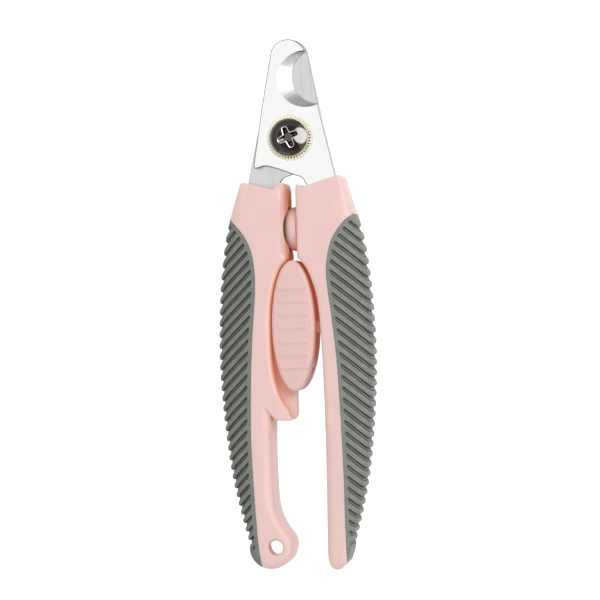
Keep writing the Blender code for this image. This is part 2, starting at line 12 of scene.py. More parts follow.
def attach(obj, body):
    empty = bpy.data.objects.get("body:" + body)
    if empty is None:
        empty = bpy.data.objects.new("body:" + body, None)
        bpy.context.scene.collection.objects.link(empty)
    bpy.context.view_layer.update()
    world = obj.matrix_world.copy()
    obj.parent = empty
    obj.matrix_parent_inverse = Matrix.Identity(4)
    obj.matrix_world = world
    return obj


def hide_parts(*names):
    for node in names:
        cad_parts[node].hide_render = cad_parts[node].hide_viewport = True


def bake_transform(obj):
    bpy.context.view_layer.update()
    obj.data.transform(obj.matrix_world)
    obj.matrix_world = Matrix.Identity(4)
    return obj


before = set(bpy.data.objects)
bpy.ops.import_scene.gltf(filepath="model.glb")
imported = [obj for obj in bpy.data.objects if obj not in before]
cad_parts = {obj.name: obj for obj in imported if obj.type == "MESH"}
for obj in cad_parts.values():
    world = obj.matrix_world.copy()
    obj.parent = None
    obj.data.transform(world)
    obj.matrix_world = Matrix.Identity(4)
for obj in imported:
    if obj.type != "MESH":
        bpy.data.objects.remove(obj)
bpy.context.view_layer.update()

MM = 0.001
THICK, MID, SEAM = 15.0, 7.5, 0.05
PIVOT = (-0.35, 46.5)
BLADE_T = 2.5
FRONT_BLADE_Z = (7.65, 10.15)
REAR_BLADE_Z = (4.85, 7.35)
BLADE_MIRROR_X = -0.2
SHAFT_R, HEAD_R, HEAD_H = 2.5, 5.2, 3.5
INNER_X = 1.35
SLIDER_C, SLIDER_A, SLIDER_B = (-0.35, -6.0), 6.0, 18.2
RECESS_GAP, LOCK_TRAVEL = 0.5, 5.5
SPRING_Y = 21.0
HOLE_C, HOLE_R = (-6.85, -67.5), 1.95
SCREW_XY = {"upper": (10.2, 20.6), "lower": (10.0, -42.0)}
TANG_PIN_XY = (13.6, -2.0)
LOCK_SCREWS = ((-3.35, 1.2), (-3.35, -11.2))
RIB_PITCH = 3.03


# ================================================================ outlines, in mm
def spline(points, step):
    pts = [Vector(p) for p in points]
    pts = [2 * pts[0] - pts[1], *pts, 2 * pts[-1] - pts[-2]]
    out = []
    for a, b, c, d in zip(pts, pts[1:], pts[2:], pts[3:]):
        t0 = 0.0
        t1 = t0 + max((b - a).length, 1e-6) ** 0.5
        t2 = t1 + max((c - b).length, 1e-6) ** 0.5
        t3 = t2 + max((d - c).length, 1e-6) ** 0.5
        n = max(1, round((c - b).length / step))
        for k in range(n):
            t = t1 + (t2 - t1) * k / n
            a1 = (t1 - t) / (t1 - t0) * a + (t - t0) / (t1 - t0) * b
            a2 = (t2 - t) / (t2 - t1) * b + (t - t1) / (t2 - t1) * c
            a3 = (t3 - t) / (t3 - t2) * c + (t - t2) / (t3 - t2) * d
            b1 = (t2 - t) / (t2 - t0) * a1 + (t - t0) / (t2 - t0) * a2
            b2 = (t3 - t) / (t3 - t1) * a2 + (t - t1) / (t3 - t1) * a3
            out.append((t2 - t) / (t2 - t1) * b1 + (t - t1) / (t2 - t1) * b2)
    out.append(pts[-2])
    return [(p.x, p.y) for p in out]


def outline(*runs, step):
    out = []
    for run in runs:
        out += spline(run, step)[:-1] if len(run) > 2 else [run[0]]
    return out


def arc(cx, cy, r, a0, a1, n):
    return [
        (cx + r * math.cos(math.radians(a0 + (a1 - a0) * k / n)), cy + r * math.sin(math.radians(a0 + (a1 - a0) * k / n)))
        for k in range(n + 1)
    ]


def ellipse(cx, cy, a, b, n):
    return [(cx + a * math.cos(2 * math.pi * k / n), cy + b * math.sin(2 * math.pi * k / n)) for k in range(n)]


OUTER = [
    (14.3, 33.6), (16.1, 28.6), (17.6, 24.1), (18.9, 19.6), (20.6, 8.4), (21.5, -4.0), (21.75, -16.0),
    (21.2, -28.0), (20.3, -38.0), (19.0, -48.0), (17.0, -57.5), (14.6, -66.0),
]
LEFT_GRIP = [
    (-21.0, 27.6), (-18.2, 24.8), (-16.0, 22.6), (-14.1, 20.3), (-12.7, 18.0), (-11.5, 15.0), (-10.8, 11.0),
    (-10.6, 6.0), (-11.1, -1.5), (-11.8, -9.0), (-12.6, -24.0), (-12.9, -38.0), (-12.6, -49.0), (-12.1, -60.0),
    (-11.4, -69.0), (-10.2, -76.0),
]
RIGHT_GRIP = [
    (21.5, 26.6), (18.4, 25.1), (16.0, 23.8), (13.9, 21.8), (12.2, 19.6), (10.9, 17.2), (9.9, 13.5),
    (9.4, 9.5), (9.6, 4.5), (10.4, -2.4), (11.5, -13.5), (12.2, -28.0), (12.7, -45.0), (12.8, -60.0),
    (12.9, -69.0), (12.9, -76.0),
]


def recess_x(y):
    a, b = SLIDER_A + RECESS_GAP, SLIDER_B + RECESS_GAP
    top, low = SLIDER_C[1], SLIDER_C[1] - LOCK_TRAVEL
    d = max(y - top, low - y, 0.0) / b
    return SLIDER_C[0] - a * math.sqrt(max(0.0, 1 - d * d))


def left_outline(step):
    outer = [(-x, y) for x, y in OUTER]
    ring = arc(-8.3, -67.4, 6.2, 175, 385, 40)
    arm = [ring[-1], (-3.9, -63.2), (-5.6, -60.2), (-6.8, -56.0), (-7.2, -50.0), (-7.3, -42.0), (-7.3, -33.4)]
    low = SLIDER_C[1] - LOCK_TRAVEL
    wall = [(recess_x(y), y) for y in (low - 17.6, -27.0, -24.0, -20.0, -16.0, -11.5, -6.0, -1.0, 4.0, 7.5, 10.3, 12.0)]
    return outline(
        [(-INNER_X, 31.8), (-1.9, 33.4)],
        [(-1.9, 33.4), (-2.35, 33.75), (-2.9, 33.9)],
        [(-2.9, 33.9), (-5.0, 32.3)],
        [(-5.0, 32.3), (-13.3, 34.26)],
        [(-13.3, 34.26), (-13.85, 34.2), (-14.3, 33.6)],
        [(-14.3, 33.6), *outer[1:], ring[0]],
        ring,
        arm,
        [(-7.3, -33.4), (-6.9, -32.5), (-6.0, -32.0)],
        [(-6.0, -32.0), (-3.4, -32.3)],
        [(-3.4, -32.3), (-1.9, -32.3)],
        [(-1.9, -32.3), (-1.6, -31.8), wall[0]],
        wall,
        [(recess_x(12.0), 12.0), (-INNER_X, 12.7)],
        [(-INNER_X, 12.7), (-INNER_X, 31.8)],
        step=step,
    )


def right_outline(step):
    end = [(14.6, -66.0), (13.75, -69.6), (12.75, -72.2), (11.4, -73.6), (9.9, -74.0), (8.5, -73.3), (7.7, -71.2), (7.6, -66.0)]
    inner = [(7.6, -66.0), (7.7, -55.0), (7.8, -41.0), (7.8, -27.0), (7.65, -16.0)]
    recess = [(7.65, -16.0), (7.4, -10.5), (7.15, -5.0), (6.85, -1.0), (6.1, 3.5), (4.9, 7.4), (3.3, 10.7), (INNER_X, 13.0)]
    return outline(
        [(INNER_X, 31.8), (1.6, 33.3)],
        [(1.6, 33.3), (3.2, 32.6)],
        [(3.2, 32.6), (4.7, 32.9)],
        [(4.7, 32.9), (13.0, 35.44)],
        [(13.0, 35.44), (13.75, 35.4), (14.15, 34.8)],
        [(14.15, 34.8), *OUTER[1:]],
        end,
        inner,
        recess,
        [(INNER_X, 13.0), (INNER_X, 31.8)],
        step=step,
    )[::-1]


def front_blade_outline():
    tip = arc(-0.4, 68.966, 5.0, 24, 158, 44)
    heel = spline([(-10.85, 38.6), (-10.4, 38.2), (-7.7, 38.8), (-4.7, 38.1), (0.3, 36.2), (2.7, 35.2), (4.0, 33.2)], 0.5)
    tang = [(4.5, 30.5), (7.2, 27.5), (7.3, 14.5), (9.3, 9.0), (9.6, -5.0), (11.0, -7.5), (15.5, -7.5), (16.2, -5.0), (14.2, 9.0), (13.4, 24.0)]
    return tip + [(-8.2, 54.4)] + heel + tang + [(12.7, 33.0), (11.6, 38.0), (7.7, 55.4), (4.9, 67.6)]


# ================================================================ plane geometry
def densify(loop, step, closed=True):
    out = []
    ends = loop[1:] + loop[:1] if closed else loop[1:]
    for a, b in zip(loop, ends):
        n = max(1, math.ceil(math.dist(a, b) / step - 0.2))
        out += [(a[0] + (b[0] - a[0]) * k / n, a[1] + (b[1] - a[1]) * k / n) for k in range(n)]
    return out if closed else out + [loop[-1]]


def nearest(points, line, closed=True):
    """For each point: its distance to the polyline, the segment's number and the share along it."""
    p = np.asarray(points, float)
    a = np.asarray(line, float)
    b = np.roll(a, -1, axis=0) if closed else a[1:]
    a = a if closed else a[:-1]
    ab = b - a
    length2 = np.maximum((ab**2).sum(1), 1e-12)
    dist, seg, share = np.empty(len(p)), np.empty(len(p), int), np.empty(len(p))
    for k in range(0, len(p), 3000):
        q = p[k : k + 3000]
        t = np.clip(((q[:, None] - a) * ab).sum(2) / length2, 0, 1)
        away = np.hypot(*np.moveaxis(q[:, None] - a - t[..., None] * ab, 2, 0))
        s = away.argmin(1)
        rows = np.arange(len(q))
        dist[k : k + 3000], seg[k : k + 3000], share[k : k + 3000] = away[rows, s], s, t[rows, s]
    return dist, seg, share


def inside(points, loops):
    p = np.asarray(points, float)
    found = np.zeros(len(p), bool)
    for loop in loops:
        a = np.asarray(loop, float)
        b = np.roll(a, -1, axis=0)
        for k in range(0, len(p), 3000):
            x, y = p[k : k + 3000, 0][:, None], p[k : k + 3000, 1][:, None]
            crosses = (a[:, 1] > y) != (b[:, 1] > y)
            rise = np.where(np.abs(b[:, 1] - a[:, 1]) < 1e-12, 1e-12, b[:, 1] - a[:, 1])
            at = a[:, 0] + (y - a[:, 1]) * (b[:, 0] - a[:, 0]) / rise
            found[k : k + 3000] ^= (crosses & (x < at)).sum(1) % 2 == 1
    return found


def normals(loop):
    """Inward unit normals of an anticlockwise loop's points."""
    p = np.asarray(loop, float)
    t = np.roll(p, -1, axis=0) - np.roll(p, 1, axis=0)
    n = np.stack([-t[:, 1], t[:, 0]], 1)
    return n / np.maximum(np.linalg.norm(n, axis=1), 1e-9)[:, None]


def smoothstep(x):
    x = np.clip(x, 0, 1)
    return x * x * (3 - 2 * x)


def smooth_loop(values, times):
    v = np.asarray(values, float)
    for _ in range(times):
        v = (np.roll(v, 1) + 2 * v + np.roll(v, -1)) / 4
    return v


def triangulate(points, loops):
    """Triangles between the loops, which are lists of point numbers, the first one outside."""
    edges = [(loop[k], loop[(k + 1) % len(loop)]) for loop in loops for k in range(len(loop))]
    out, _, faces, orig, _, _ = delaunay_2d_cdt([Vector(p) for p in points], edges, [], 0, 1e-6)
    back = {}
    for k, came in enumerate(orig):
        if came:
            back[k] = came[0]
    faces = [tuple(back[i] for i in f) for f in faces if all(i in back for i in f)]
    p = np.asarray(points, float)
    mid = np.array([p[list(f)].mean(0) for f in faces])
    keep = inside(mid, [[points[i] for i in loop] for loop in loops])
    out = []
    for f, ok in zip(faces, keep):
        if ok and len(set(f)) == 3:
            a, b, c = (p[i] for i in f)
            area = (b[0] - a[0]) * (c[1] - a[1]) - (b[1] - a[1]) * (c[0] - a[0])
            if abs(area) > 1e-9:
                out.append(f if area > 0 else f[::-1])
    return out


# ================================================================ mesh helpers
def link(name, bm):
    bmesh.ops.recalc_face_normals(bm, faces=bm.faces)
    bm.transform(Matrix.Scale(MM, 4))
    mesh = bpy.data.meshes.new(name)
    bm.to_mesh(mesh)
    bm.free()
    obj = bpy.data.objects.new(name, mesh)
    bpy.context.scene.collection.objects.link(obj)
    return obj


def mesh_of(name, verts, faces):
    bm = bmesh.new()
    made = [bm.verts.new(v) for v in verts]
    for f in faces:
        if len(set(f)) > 2:
            try:
                bm.faces.new([made[i] for i in f])
            except ValueError:
                pass
    loose = [v for v in bm.verts if not v.link_faces]
    bmesh.ops.delete(bm, geom=loose, context="VERTS")
    return link(name, bm)


def inset(points, by):
    n = len(points)
    by = by if hasattr(by, "__len__") else [by] * n
    out = []
    for i in range(n):
        a, b, c = Vector(points[i - 1]), Vector(points[i]), Vector(points[(i + 1) % n])
        u, v = (b - a).normalized(), (c - b).normalized()
        normal = Vector((-(u.y + v.y), u.x + v.x)).normalized()
        reach = min(1.6, 1 / max(0.4, normal.dot(Vector((-u.y, u.x)))))
        out.append((b.x + normal.x * by[i] * reach, b.y + normal.y * by[i] * reach))
    return out


def plate(name, loop, z0, z1, low=0.0, high=0.0, segments=3):
    """An extruded loop with rounded lower and upper edges."""
    rings = []
    if low > 0:
        for k in range(segments + 1):
            a = math.radians(90 * k / segments)
            rings.append([(x, y, z0 + low * (1 - math.cos(a))) for x, y in inset(loop, low * (1 - math.sin(a)))])
    else:
        rings.append([(x, y, z0) for x, y in loop])
    if high > 0:
        for k in range(segments + 1):
            a = math.radians(90 * k / segments)
            rings.append([(x, y, z1 - high * (1 - math.sin(a))) for x, y in inset(loop, high * (1 - math.cos(a)))])
    else:
        rings.append([(x, y, z1) for x, y in loop])
    bm = bmesh.new()
    made = [[bm.verts.new(p) for p in ring] for ring in rings]
    n = len(loop)
    for a, b in zip(made, made[1:]):
        for i in range(n):
            bm.faces.new((a[i], a[(i + 1) % n], b[(i + 1) % n], b[i]))
    caps = [bm.faces.new(made[0][::-1]), bm.faces.new(made[-1])]
    bm.normal_update()
    bmesh.ops.triangulate(bm, faces=caps)
    return link(name, bm)


def turned(name, profile, segments, axis="Z", centre=(0, 0, 0)):
    bm = bmesh.new()
    loops = []
    for r, h in profile:
        if r == 0:
            loops.append([bm.verts.new((0, 0, h))])
        else:
            loops.append([bm.verts.new((r * math.cos(2 * math.pi * k / segments), r * math.sin(2 * math.pi * k / segments), h)) for k in range(segments)])
    pairs = list(zip(loops, loops[1:]))
    if len(loops[0]) > 1 and len(loops[-1]) > 1:
        pairs.append((loops[-1], loops[0]))
    for a, b in pairs:
        for i in range(segments):
            j = (i + 1) % segments
            if len(a) == 1:
                bm.faces.new((a[0], b[j], b[i]))
            elif len(b) == 1:
                bm.faces.new((a[i], a[j], b[0]))
            else:
                bm.faces.new((a[i], a[j], b[j], b[i]))
    turn = {"Z": Matrix.Identity(4), "X": Matrix.Rotation(math.pi / 2, 4, "Y")}[axis]
    bm.transform(Matrix.Translation(centre) @ turn)
    return link(name, bm)


def boolean(obj, other, operation):
    m = obj.modifiers.new(operation, "BOOLEAN")
    m.operation, m.object, m.solver = operation, other, "EXACT"
    bpy.context.view_layer.update()
    mesh = bpy.data.meshes.new_from_object(obj.evaluated_get(bpy.context.evaluated_depsgraph_get()))
    mesh.name = obj.name
    obj.modifiers.clear()
    obj.data = mesh
    bpy.data.objects.remove(other)
    return obj


def cut(obj, *others):
    for other in others:
        boolean(obj, other, "DIFFERENCE")
    return obj


def join(obj, *others):
    for other in others:
        boolean(obj, other, "UNION")
    return obj


def finish_piece(obj, material, body, nodes, sharp=38):
    obj.data.materials.clear()
    obj.data.materials.append(material)
    for p in obj.data.polygons:
        p.material_index = 0
    obj.data.shade_smooth()
    obj.data.set_sharp_from_angle(angle=math.radians(sharp))
    if body:
        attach(obj, body)
    if nodes:
        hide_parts(*nodes)
    return obj


# ================================================================ materials
class Tree:
    """A small helper for node trees."""

    def __init__(self, name):
        self.m = bpy.data.materials.new(name)
        self.m.use_nodes = True
        self.t = self.m.node_tree
        self.shader = self.t.nodes["Principled BSDF"]

    def node(self, kind, **settings):
        n = self.t.nodes.new(kind)
        for k, v in settings.items():
            if k in n.inputs.keys():
                n.inputs[k].default_value = v
            else:
                setattr(n, k, v)
        return n

    def link(self, a, b):
        self.t.links.new(a, b)

    def object_coords(self, scale=(1, 1, 1), rotation=(0, 0, 0)):
        coords = self.node("ShaderNodeTexCoord")
        mapping = self.node("ShaderNodeMapping")
        mapping.inputs["Scale"].default_value = scale
        mapping.inputs["Rotation"].default_value = rotation
        self.link(coords.outputs["Object"], mapping.inputs["Vector"])
        return mapping.outputs["Vector"]

    def noise(self, vector, scale, detail=2.0, rough=0.5):
        n = self.node("ShaderNodeTexNoise")
        n.inputs["Scale"].default_value = scale
        n.inputs["Detail"].default_value = detail
        n.inputs["Roughness"].default_value = rough
        self.link(vector, n.inputs["Vector"])
        return n.outputs["Fac"]

    def ramp(self, fac, stops):
        r = self.node("ShaderNodeValToRGB")
        r.color_ramp.elements[0].position, r.color_ramp.elements[0].color = stops[0][0], (*stops[0][1], 1)
        r.color_ramp.elements[1].position, r.color_ramp.elements[1].color = stops[-1][0], (*stops[-1][1], 1)
        for at, colour in stops[1:-1]:
            e = r.color_ramp.elements.new(at)
            e.color = (*colour, 1)
        self.link(fac, r.inputs["Fac"])
        return r.outputs["Color"]

    def span(self, fac, low, high, a=0.0, b=1.0):
        n = self.node("ShaderNodeMapRange")
        n.inputs["From Min"].default_value, n.inputs["From Max"].default_value = a, b
        n.inputs["To Min"].default_value, n.inputs["To Max"].default_value = low, high
        self.link(fac, n.inputs["Value"])
        return n.outputs["Result"]

    def mix(self, fac, a, b, blend="MIX"):
        n = self.node("ShaderNodeMix", data_type="RGBA", blend_type=blend)
        for value, socket in ((fac, n.inputs[0]), (a, n.inputs[6]), (b, n.inputs[7])):
            if isinstance(value, bpy.types.NodeSocket):
                self.link(value, socket)
            else:
                socket.default_value = value if not isinstance(value, tuple) else (*value, 1)
        return n.outputs[2]

    def bump(self, height, strength, distance, after=None):
        n = self.node("ShaderNodeBump")
        n.inputs["Strength"].default_value = strength
        n.inputs["Distance"].default_value = distance
        self.link(height, n.inputs["Height"])
        if after is not None:
            self.link(after, n.inputs["Normal"])
        return n.outputs["Normal"]

    def set(self, **values):
        for k, v in values.items():
            self.shader.inputs[k.replace("_", " ")].default_value = v
        return self.m


def plastic(name, colour, recess_shade_colour, deep_shade_colour, wall_shade_factor=(0.90, 0.58, 0.42), painted_glow_strength=0.16):
    """Satin moulded plastic: fine spark-eroded grain, faint flow marks, painted warm shade in occluded corners and
    between close walls, darker on steep walls and near-black where deeply occluded, and a painted warm glow there.
    """
    t = Tree(name)
    v = t.object_coords()
    flow = t.noise(t.object_coords((1, 0.35, 1)), 260, 3, 0.55)
    grain = t.noise(v, 5200, 2, 0.6)
    body = t.ramp(flow, [(0.3, tuple(c * 0.982 for c in colour)), (0.7, tuple(min(1, c * 1.012) for c in colour))])
    # painted shade: where the AO node finds close walls, the colour turns toward the warm shade colour, darker on steep
    # walls, near-black where deeply occluded
    near = t.node("ShaderNodeAmbientOcclusion", samples=6)
    near.inputs["Distance"].default_value = 0.0040
    open_air = near.outputs["AO"]
    normal = t.node("ShaderNodeNewGeometry").outputs["Normal"]
    facing = t.node("ShaderNodeSeparateXYZ")
    t.link(normal, facing.inputs[0])
    upright = t.node("ShaderNodeMath", operation="ABSOLUTE")
    t.link(facing.outputs["Z"], upright.inputs[0])
    wall = t.span(upright.outputs[0], 1.0, 0.0, 0.0, 0.6)
    painted_recess_shade = t.mix(wall, recess_shade_colour, tuple(c * k for c, k in zip(recess_shade_colour, wall_shade_factor)))
    tinted = t.mix(t.span(open_air, 1.0, 0.0, 0.34, 0.93), body, painted_recess_shade)
    # painted light and shade from a per-point attribute: pale orange at low values, dark brown at high values
    painted_glow_and_shade = t.node("ShaderNodeAttribute", attribute_name="painted_glow_and_shade").outputs["Fac"]
    tinted = t.mix(painted_glow_and_shade, tinted, t.mix(t.span(painted_glow_and_shade, 0.0, 1.0, 0.45, 1.0), (0.90, 0.56, 0.43), (0.60, 0.25, 0.14)))
    tinted = t.mix(t.span(open_air, 1.0, 0.0, 0.03, 0.30), tinted, deep_shade_colour)
    shade = t.node("ShaderNodeAttribute", attribute_name="shade").outputs["Fac"]
    t.link(t.mix(shade, tinted, (0.055, 0.020, 0.014)), t.shader.inputs["Base Color"])
    t.link(t.span(grain, 0.34, 0.46, 0.3, 0.7), t.shader.inputs["Roughness"])
    # specular is turned down where occluded and where shade is painted, so the painted shade stays dark
    lit = t.node("ShaderNodeMath", operation="SUBTRACT")
    t.link(t.span(open_air, 0.0, 0.42, 0.50, 0.90), lit.inputs[0])
    t.link(shade, lit.inputs[1])
    lit.use_clamp = True
    t.link(lit.outputs[0], t.shader.inputs["Specular IOR Level"])
    # painted glow: the plastic emits a warm orange the more occluded it is
    t.set(Emission_Color=(1.0, 0.42, 0.26, 1))
    t.link(t.span(open_air, painted_glow_strength, 0.0, 0.05, 0.50), t.shader.inputs["Emission Strength"])
    soft = t.bump(flow, 0.05, 0.0004)
    t.link(t.bump(grain, 0.10, 0.00004, soft), t.shader.inputs["Normal"])
    t.set(Subsurface_Weight=0.36, Subsurface_Scale=0.0026)
    t.shader.inputs["Subsurface Radius"].default_value = (1.0, 0.38, 0.26)
    t.m.diffuse_color = (*colour, 1)
    return t.m


def rubber(name, level=1.0):
    """Matt thermoplastic rubber: grey-green, with painted highlight on the ridges and painted shade down in the slots,
    near-black at their edges and inner ends, and fine drag lines along the ribs.
    """
    t = Tree(name)
    v = t.object_coords()
    cloud = t.noise(v, 420, 4, 0.6)
    grain = t.noise(v, 3600, 3, 0.65)
    xyz = t.node("ShaderNodeSeparateXYZ")
    t.link(v, xyz.inputs[0])
    out = t.node("ShaderNodeMath", operation="ABSOLUTE")
    t.link(xyz.outputs["X"], out.inputs[0])
    across = t.node("ShaderNodeMath", operation="MULTIPLY_ADD")
    t.link(out.outputs[0], across.inputs[0])
    across.inputs[1].default_value = 0.9
    t.link(xyz.outputs["Y"], across.inputs[2])
    rib = t.node("ShaderNodeCombineXYZ")
    t.link(across.outputs[0], rib.inputs["X"])
    short = t.node("ShaderNodeMath", operation="MULTIPLY")
    t.link(out.outputs[0], short.inputs[0])
    short.inputs[1].default_value = 0.16
    t.link(short.outputs[0], rib.inputs["Y"])
    t.link(xyz.outputs["Z"], rib.inputs["Z"])
    drag = t.noise(rib.outputs[0], 2600, 3, 0.6)
    body = t.ramp(cloud, [(0.25, (0.150 * level, 0.155 * level, 0.140 * level)), (0.75, (0.182 * level, 0.188 * level, 0.170 * level))])
    body = t.mix(t.span(drag, 0.0, 0.62, 0.36, 0.66), t.mix(1.0, body, (1.12, 1.12, 1.12), "MULTIPLY"), t.mix(1.0, body, (0.66, 0.67, 0.66), "MULTIPLY"))
    # painted highlight and shade from a per-point attribute: lighter at 0, darker toward 0.55, near-black from 0.66
    depth = t.node("ShaderNodeAttribute", attribute_name="slot_painted_shade").outputs["Fac"]
    mid = t.mix(t.span(depth, 0.0, 1.0, 0.08, 0.55), t.mix(1.0, body, (1.14, 1.14, 1.14), "MULTIPLY"), t.mix(1.0, body, (0.66, 0.68, 0.65), "MULTIPLY"))
    t.link(t.mix(t.span(depth, 0.0, 1.0, 0.66, 0.98), mid, (0.022, 0.024, 0.021)), t.shader.inputs["Base Color"])
    t.link(t.span(grain, 0.58, 0.76, 0.3, 0.7), t.shader.inputs["Roughness"])
    t.link(t.bump(grain, 0.22, 0.00006, t.bump(drag, 0.16, 0.00008)), t.shader.inputs["Normal"])
    t.set(Specular_IOR_Level=0.34, Sheen_Weight=0.06, Sheen_Roughness=0.5)
    t.m.diffuse_color = (0.14, 0.145, 0.13, 1)
    return t.m


def steel(name, colour, rough, along=(1, 1, 1), turn=0.0, lines=0.05, metallic=1.0):
    """Ground and polished steel: fine lines along one direction, and faint smears in the polish."""
    t = Tree(name)
    v = t.object_coords(along, (0, 0, turn))
    brush = t.noise(v, 900, 4, 0.65)
    smear = t.noise(t.object_coords(), 90, 3, 0.6)
    rim_highlight = t.node("ShaderNodeAttribute", attribute_name="painted_rim_highlight").outputs["Fac"]
    painted_shade_and_dark_reflection = t.node("ShaderNodeAttribute", attribute_name="painted_shade_and_dark_reflection").outputs["Fac"]
    body = t.ramp(smear, [(0.3, tuple(c * 0.96 for c in colour)), (0.7, colour)])
    # painted shade and painted dark reflection from a per-face attribute, toward near-black
    body = t.mix(painted_shade_and_dark_reflection, body, (0.050, 0.045, 0.038))
    # painted highlight from a per-face attribute: pale, less metallic grey
    t.link(t.mix(rim_highlight, body, (0.93, 0.93, 0.92)), t.shader.inputs["Base Color"])
    t.link(t.span(brush, max(0.02, rough - 0.04), rough + 0.07, 0.3, 0.7), t.shader.inputs["Roughness"])
    t.link(t.span(rim_highlight, metallic, 0.45), t.shader.inputs["Metallic"])
    t.link(t.bump(brush, lines, 0.00003), t.shader.inputs["Normal"])
    t.m.diffuse_color = (*colour, 1)
    return t.m


def blade_steel(name, colour, rough, side):
    """Polished steel, and on the ground bevel of the notch fine lines that run towards the notch's middle, with a
    painted reflection that is bright in its middle and dark at its ends; the cut sides are painted dark grey.
    """
    t = Tree(name)
    brush = t.noise(t.object_coords((1.0, 0.06, 1.0)), 900, 4, 0.65)
    smear = t.noise(t.object_coords(), 90, 3, 0.6)
    face = t.ramp(smear, [(0.3, tuple(c * 0.97 for c in colour)), (0.7, colour)])
    coords = t.node("ShaderNodeTexCoord")
    xyz = t.node("ShaderNodeSeparateXYZ")
    t.link(coords.outputs["Object"], xyz.inputs[0])

    def calc(op, a, b):
        n = t.node("ShaderNodeMath", operation=op)
        for k, v in enumerate((a, b)):
            if isinstance(v, bpy.types.NodeSocket):
                t.link(v, n.inputs[k])
            else:
                n.inputs[k].default_value = v
        return n.outputs[0]

    dx = calc("MULTIPLY", calc("SUBTRACT", xyz.outputs["X"], 0.0066 * side if side > 0 else -0.0070), float(-side))
    dy = calc("SUBTRACT", xyz.outputs["Y"], 0.0633)
    angle = calc("ARCTAN2", dy, dx)
    polar = t.node("ShaderNodeCombineXYZ")
    t.link(angle, polar.inputs["X"])
    t.link(calc("MULTIPLY", calc("ADD", calc("MULTIPLY", dx, dx), calc("MULTIPLY", dy, dy)), 900.0), polar.inputs["Y"])
    lines = t.noise(polar.outputs[0], 15, 4, 0.7)
    broad = t.noise(polar.outputs[0], 7, 2, 0.5)
    turn = calc("ADD", t.span(angle, 0.0, 1.0, -1.6, 1.6), calc("MULTIPLY", calc("SUBTRACT", broad, 0.5), 0.10))
    # painted reflection: grey levels by angle round the notch, bright in the middle and dark at the ends
    painted_reflection_levels = ((0.0, 0.42), (0.16, 0.38), (0.29, 0.40), (0.35, 0.54), (0.42, 0.88), (0.50, 0.96), (0.58, 0.94), (0.63, 0.68), (0.80, 0.64), (1.0, 0.52))
    tone = t.ramp(turn, [(at, (level, level, level * 0.985)) for at, level in painted_reflection_levels])
    tone = t.mix(t.span(lines, 0.0, 0.55, 0.42, 0.62), tone, t.mix(1.0, tone, (0.60, 0.60, 0.60), "MULTIPLY"))
    ground = t.node("ShaderNodeAttribute", attribute_name="ground").outputs["Fac"]
    # painted shade: the cut side walls are painted dark grey
    dark_side = t.node("ShaderNodeAttribute", attribute_name="painted_dark_side").outputs["Fac"]
    t.link(t.mix(dark_side, t.mix(ground, face, tone), (0.15, 0.15, 0.155)), t.shader.inputs["Base Color"])
    base = t.span(brush, max(0.02, rough - 0.04), rough + 0.07, 0.3, 0.7)
    n = t.node("ShaderNodeMix", data_type="FLOAT")
    t.link(ground, n.inputs[0])
    t.link(base, n.inputs[2])
    n.inputs[3].default_value = 0.34
    t.link(n.outputs[0], t.shader.inputs["Roughness"])
    t.link(t.bump(brush, 0.05, 0.00003), t.shader.inputs["Normal"])
    t.link(t.span(ground, 1.0, 0.30), t.shader.inputs["Metallic"])
    t.m.diffuse_color = (*colour, 1)
    return t.m


PINK = plastic("moulded_pink", (0.800, 0.570, 0.543), (0.92, 0.65, 0.56), (0.64, 0.29, 0.18))
CUP = plastic("moulded_cup", (0.800, 0.570, 0.543), (0.84, 0.57, 0.51), (0.66, 0.36, 0.28))
OVAL = plastic("moulded_slider", (0.756, 0.530, 0.497), (0.83, 0.56, 0.49), (0.78, 0.44, 0.34), (0.98, 0.86, 0.80), 0.06)
# the right grip's rubber is a copy of the same rubber painted 1.2 times lighter: painted light
RUBBER, RUBBER_RIGHT_PAINTED_LIGHTER = rubber("ribbed_rubber"), rubber("ribbed_rubber_right_painted_lighter", 1.20)
BLADE = blade_steel("polished_blade", (0.95, 0.95, 0.955), 0.10, 1)
REAR = blade_steel("ground_blade", (0.72, 0.725, 0.73), 0.22, -1)
# the chrome's dark base colour is a painted dark reflection of its surroundings
CHROME = steel("chrome_painted_dark", (0.205, 0.192, 0.182), 0.05, (1, 1, 1), 0.0, 0.015)
BRASS = steel("yellow_washer", (0.97, 0.95, 0.74), 0.24, (1, 1, 1), 0.0, 0.05, 0.15)
ZINC = steel("zinc_plate", (0.66, 0.67, 0.69), 0.27, (1, 1, 1), 0.0, 0.08)
WIRE = steel("spring_wire", (0.62, 0.63, 0.65), 0.22, (0.4, 1, 1), 0.0, 0.06)


# ================================================================ handles
def edge_radius(x, y):
    side = abs(x)
    if side < 7.0 and -34.0 < y < -26.0:
        return 0.4
    if side < 7.79 and -29.5 < y < 12.9:
        return 1.2
    if side < 7.9 and -33.5 < y <= -29.5:
        return 1.2
    if y > 31 and side < 6.5:
        return 0.7
    if y > 33:
        return 0.8
    if side < 2.2 and y > 12:
        return 1.9 if x < 0 else 1.0
    if side > 12.5 and -70 < y < 30:
        ends = min(1.0, (30 - y) / 8, (y + 70) / 14)
        return 2.0 + 2.2 * ends
    if x < 0 and -60 < y < -34 and side < 8:
        return 2.9
    return 2.1


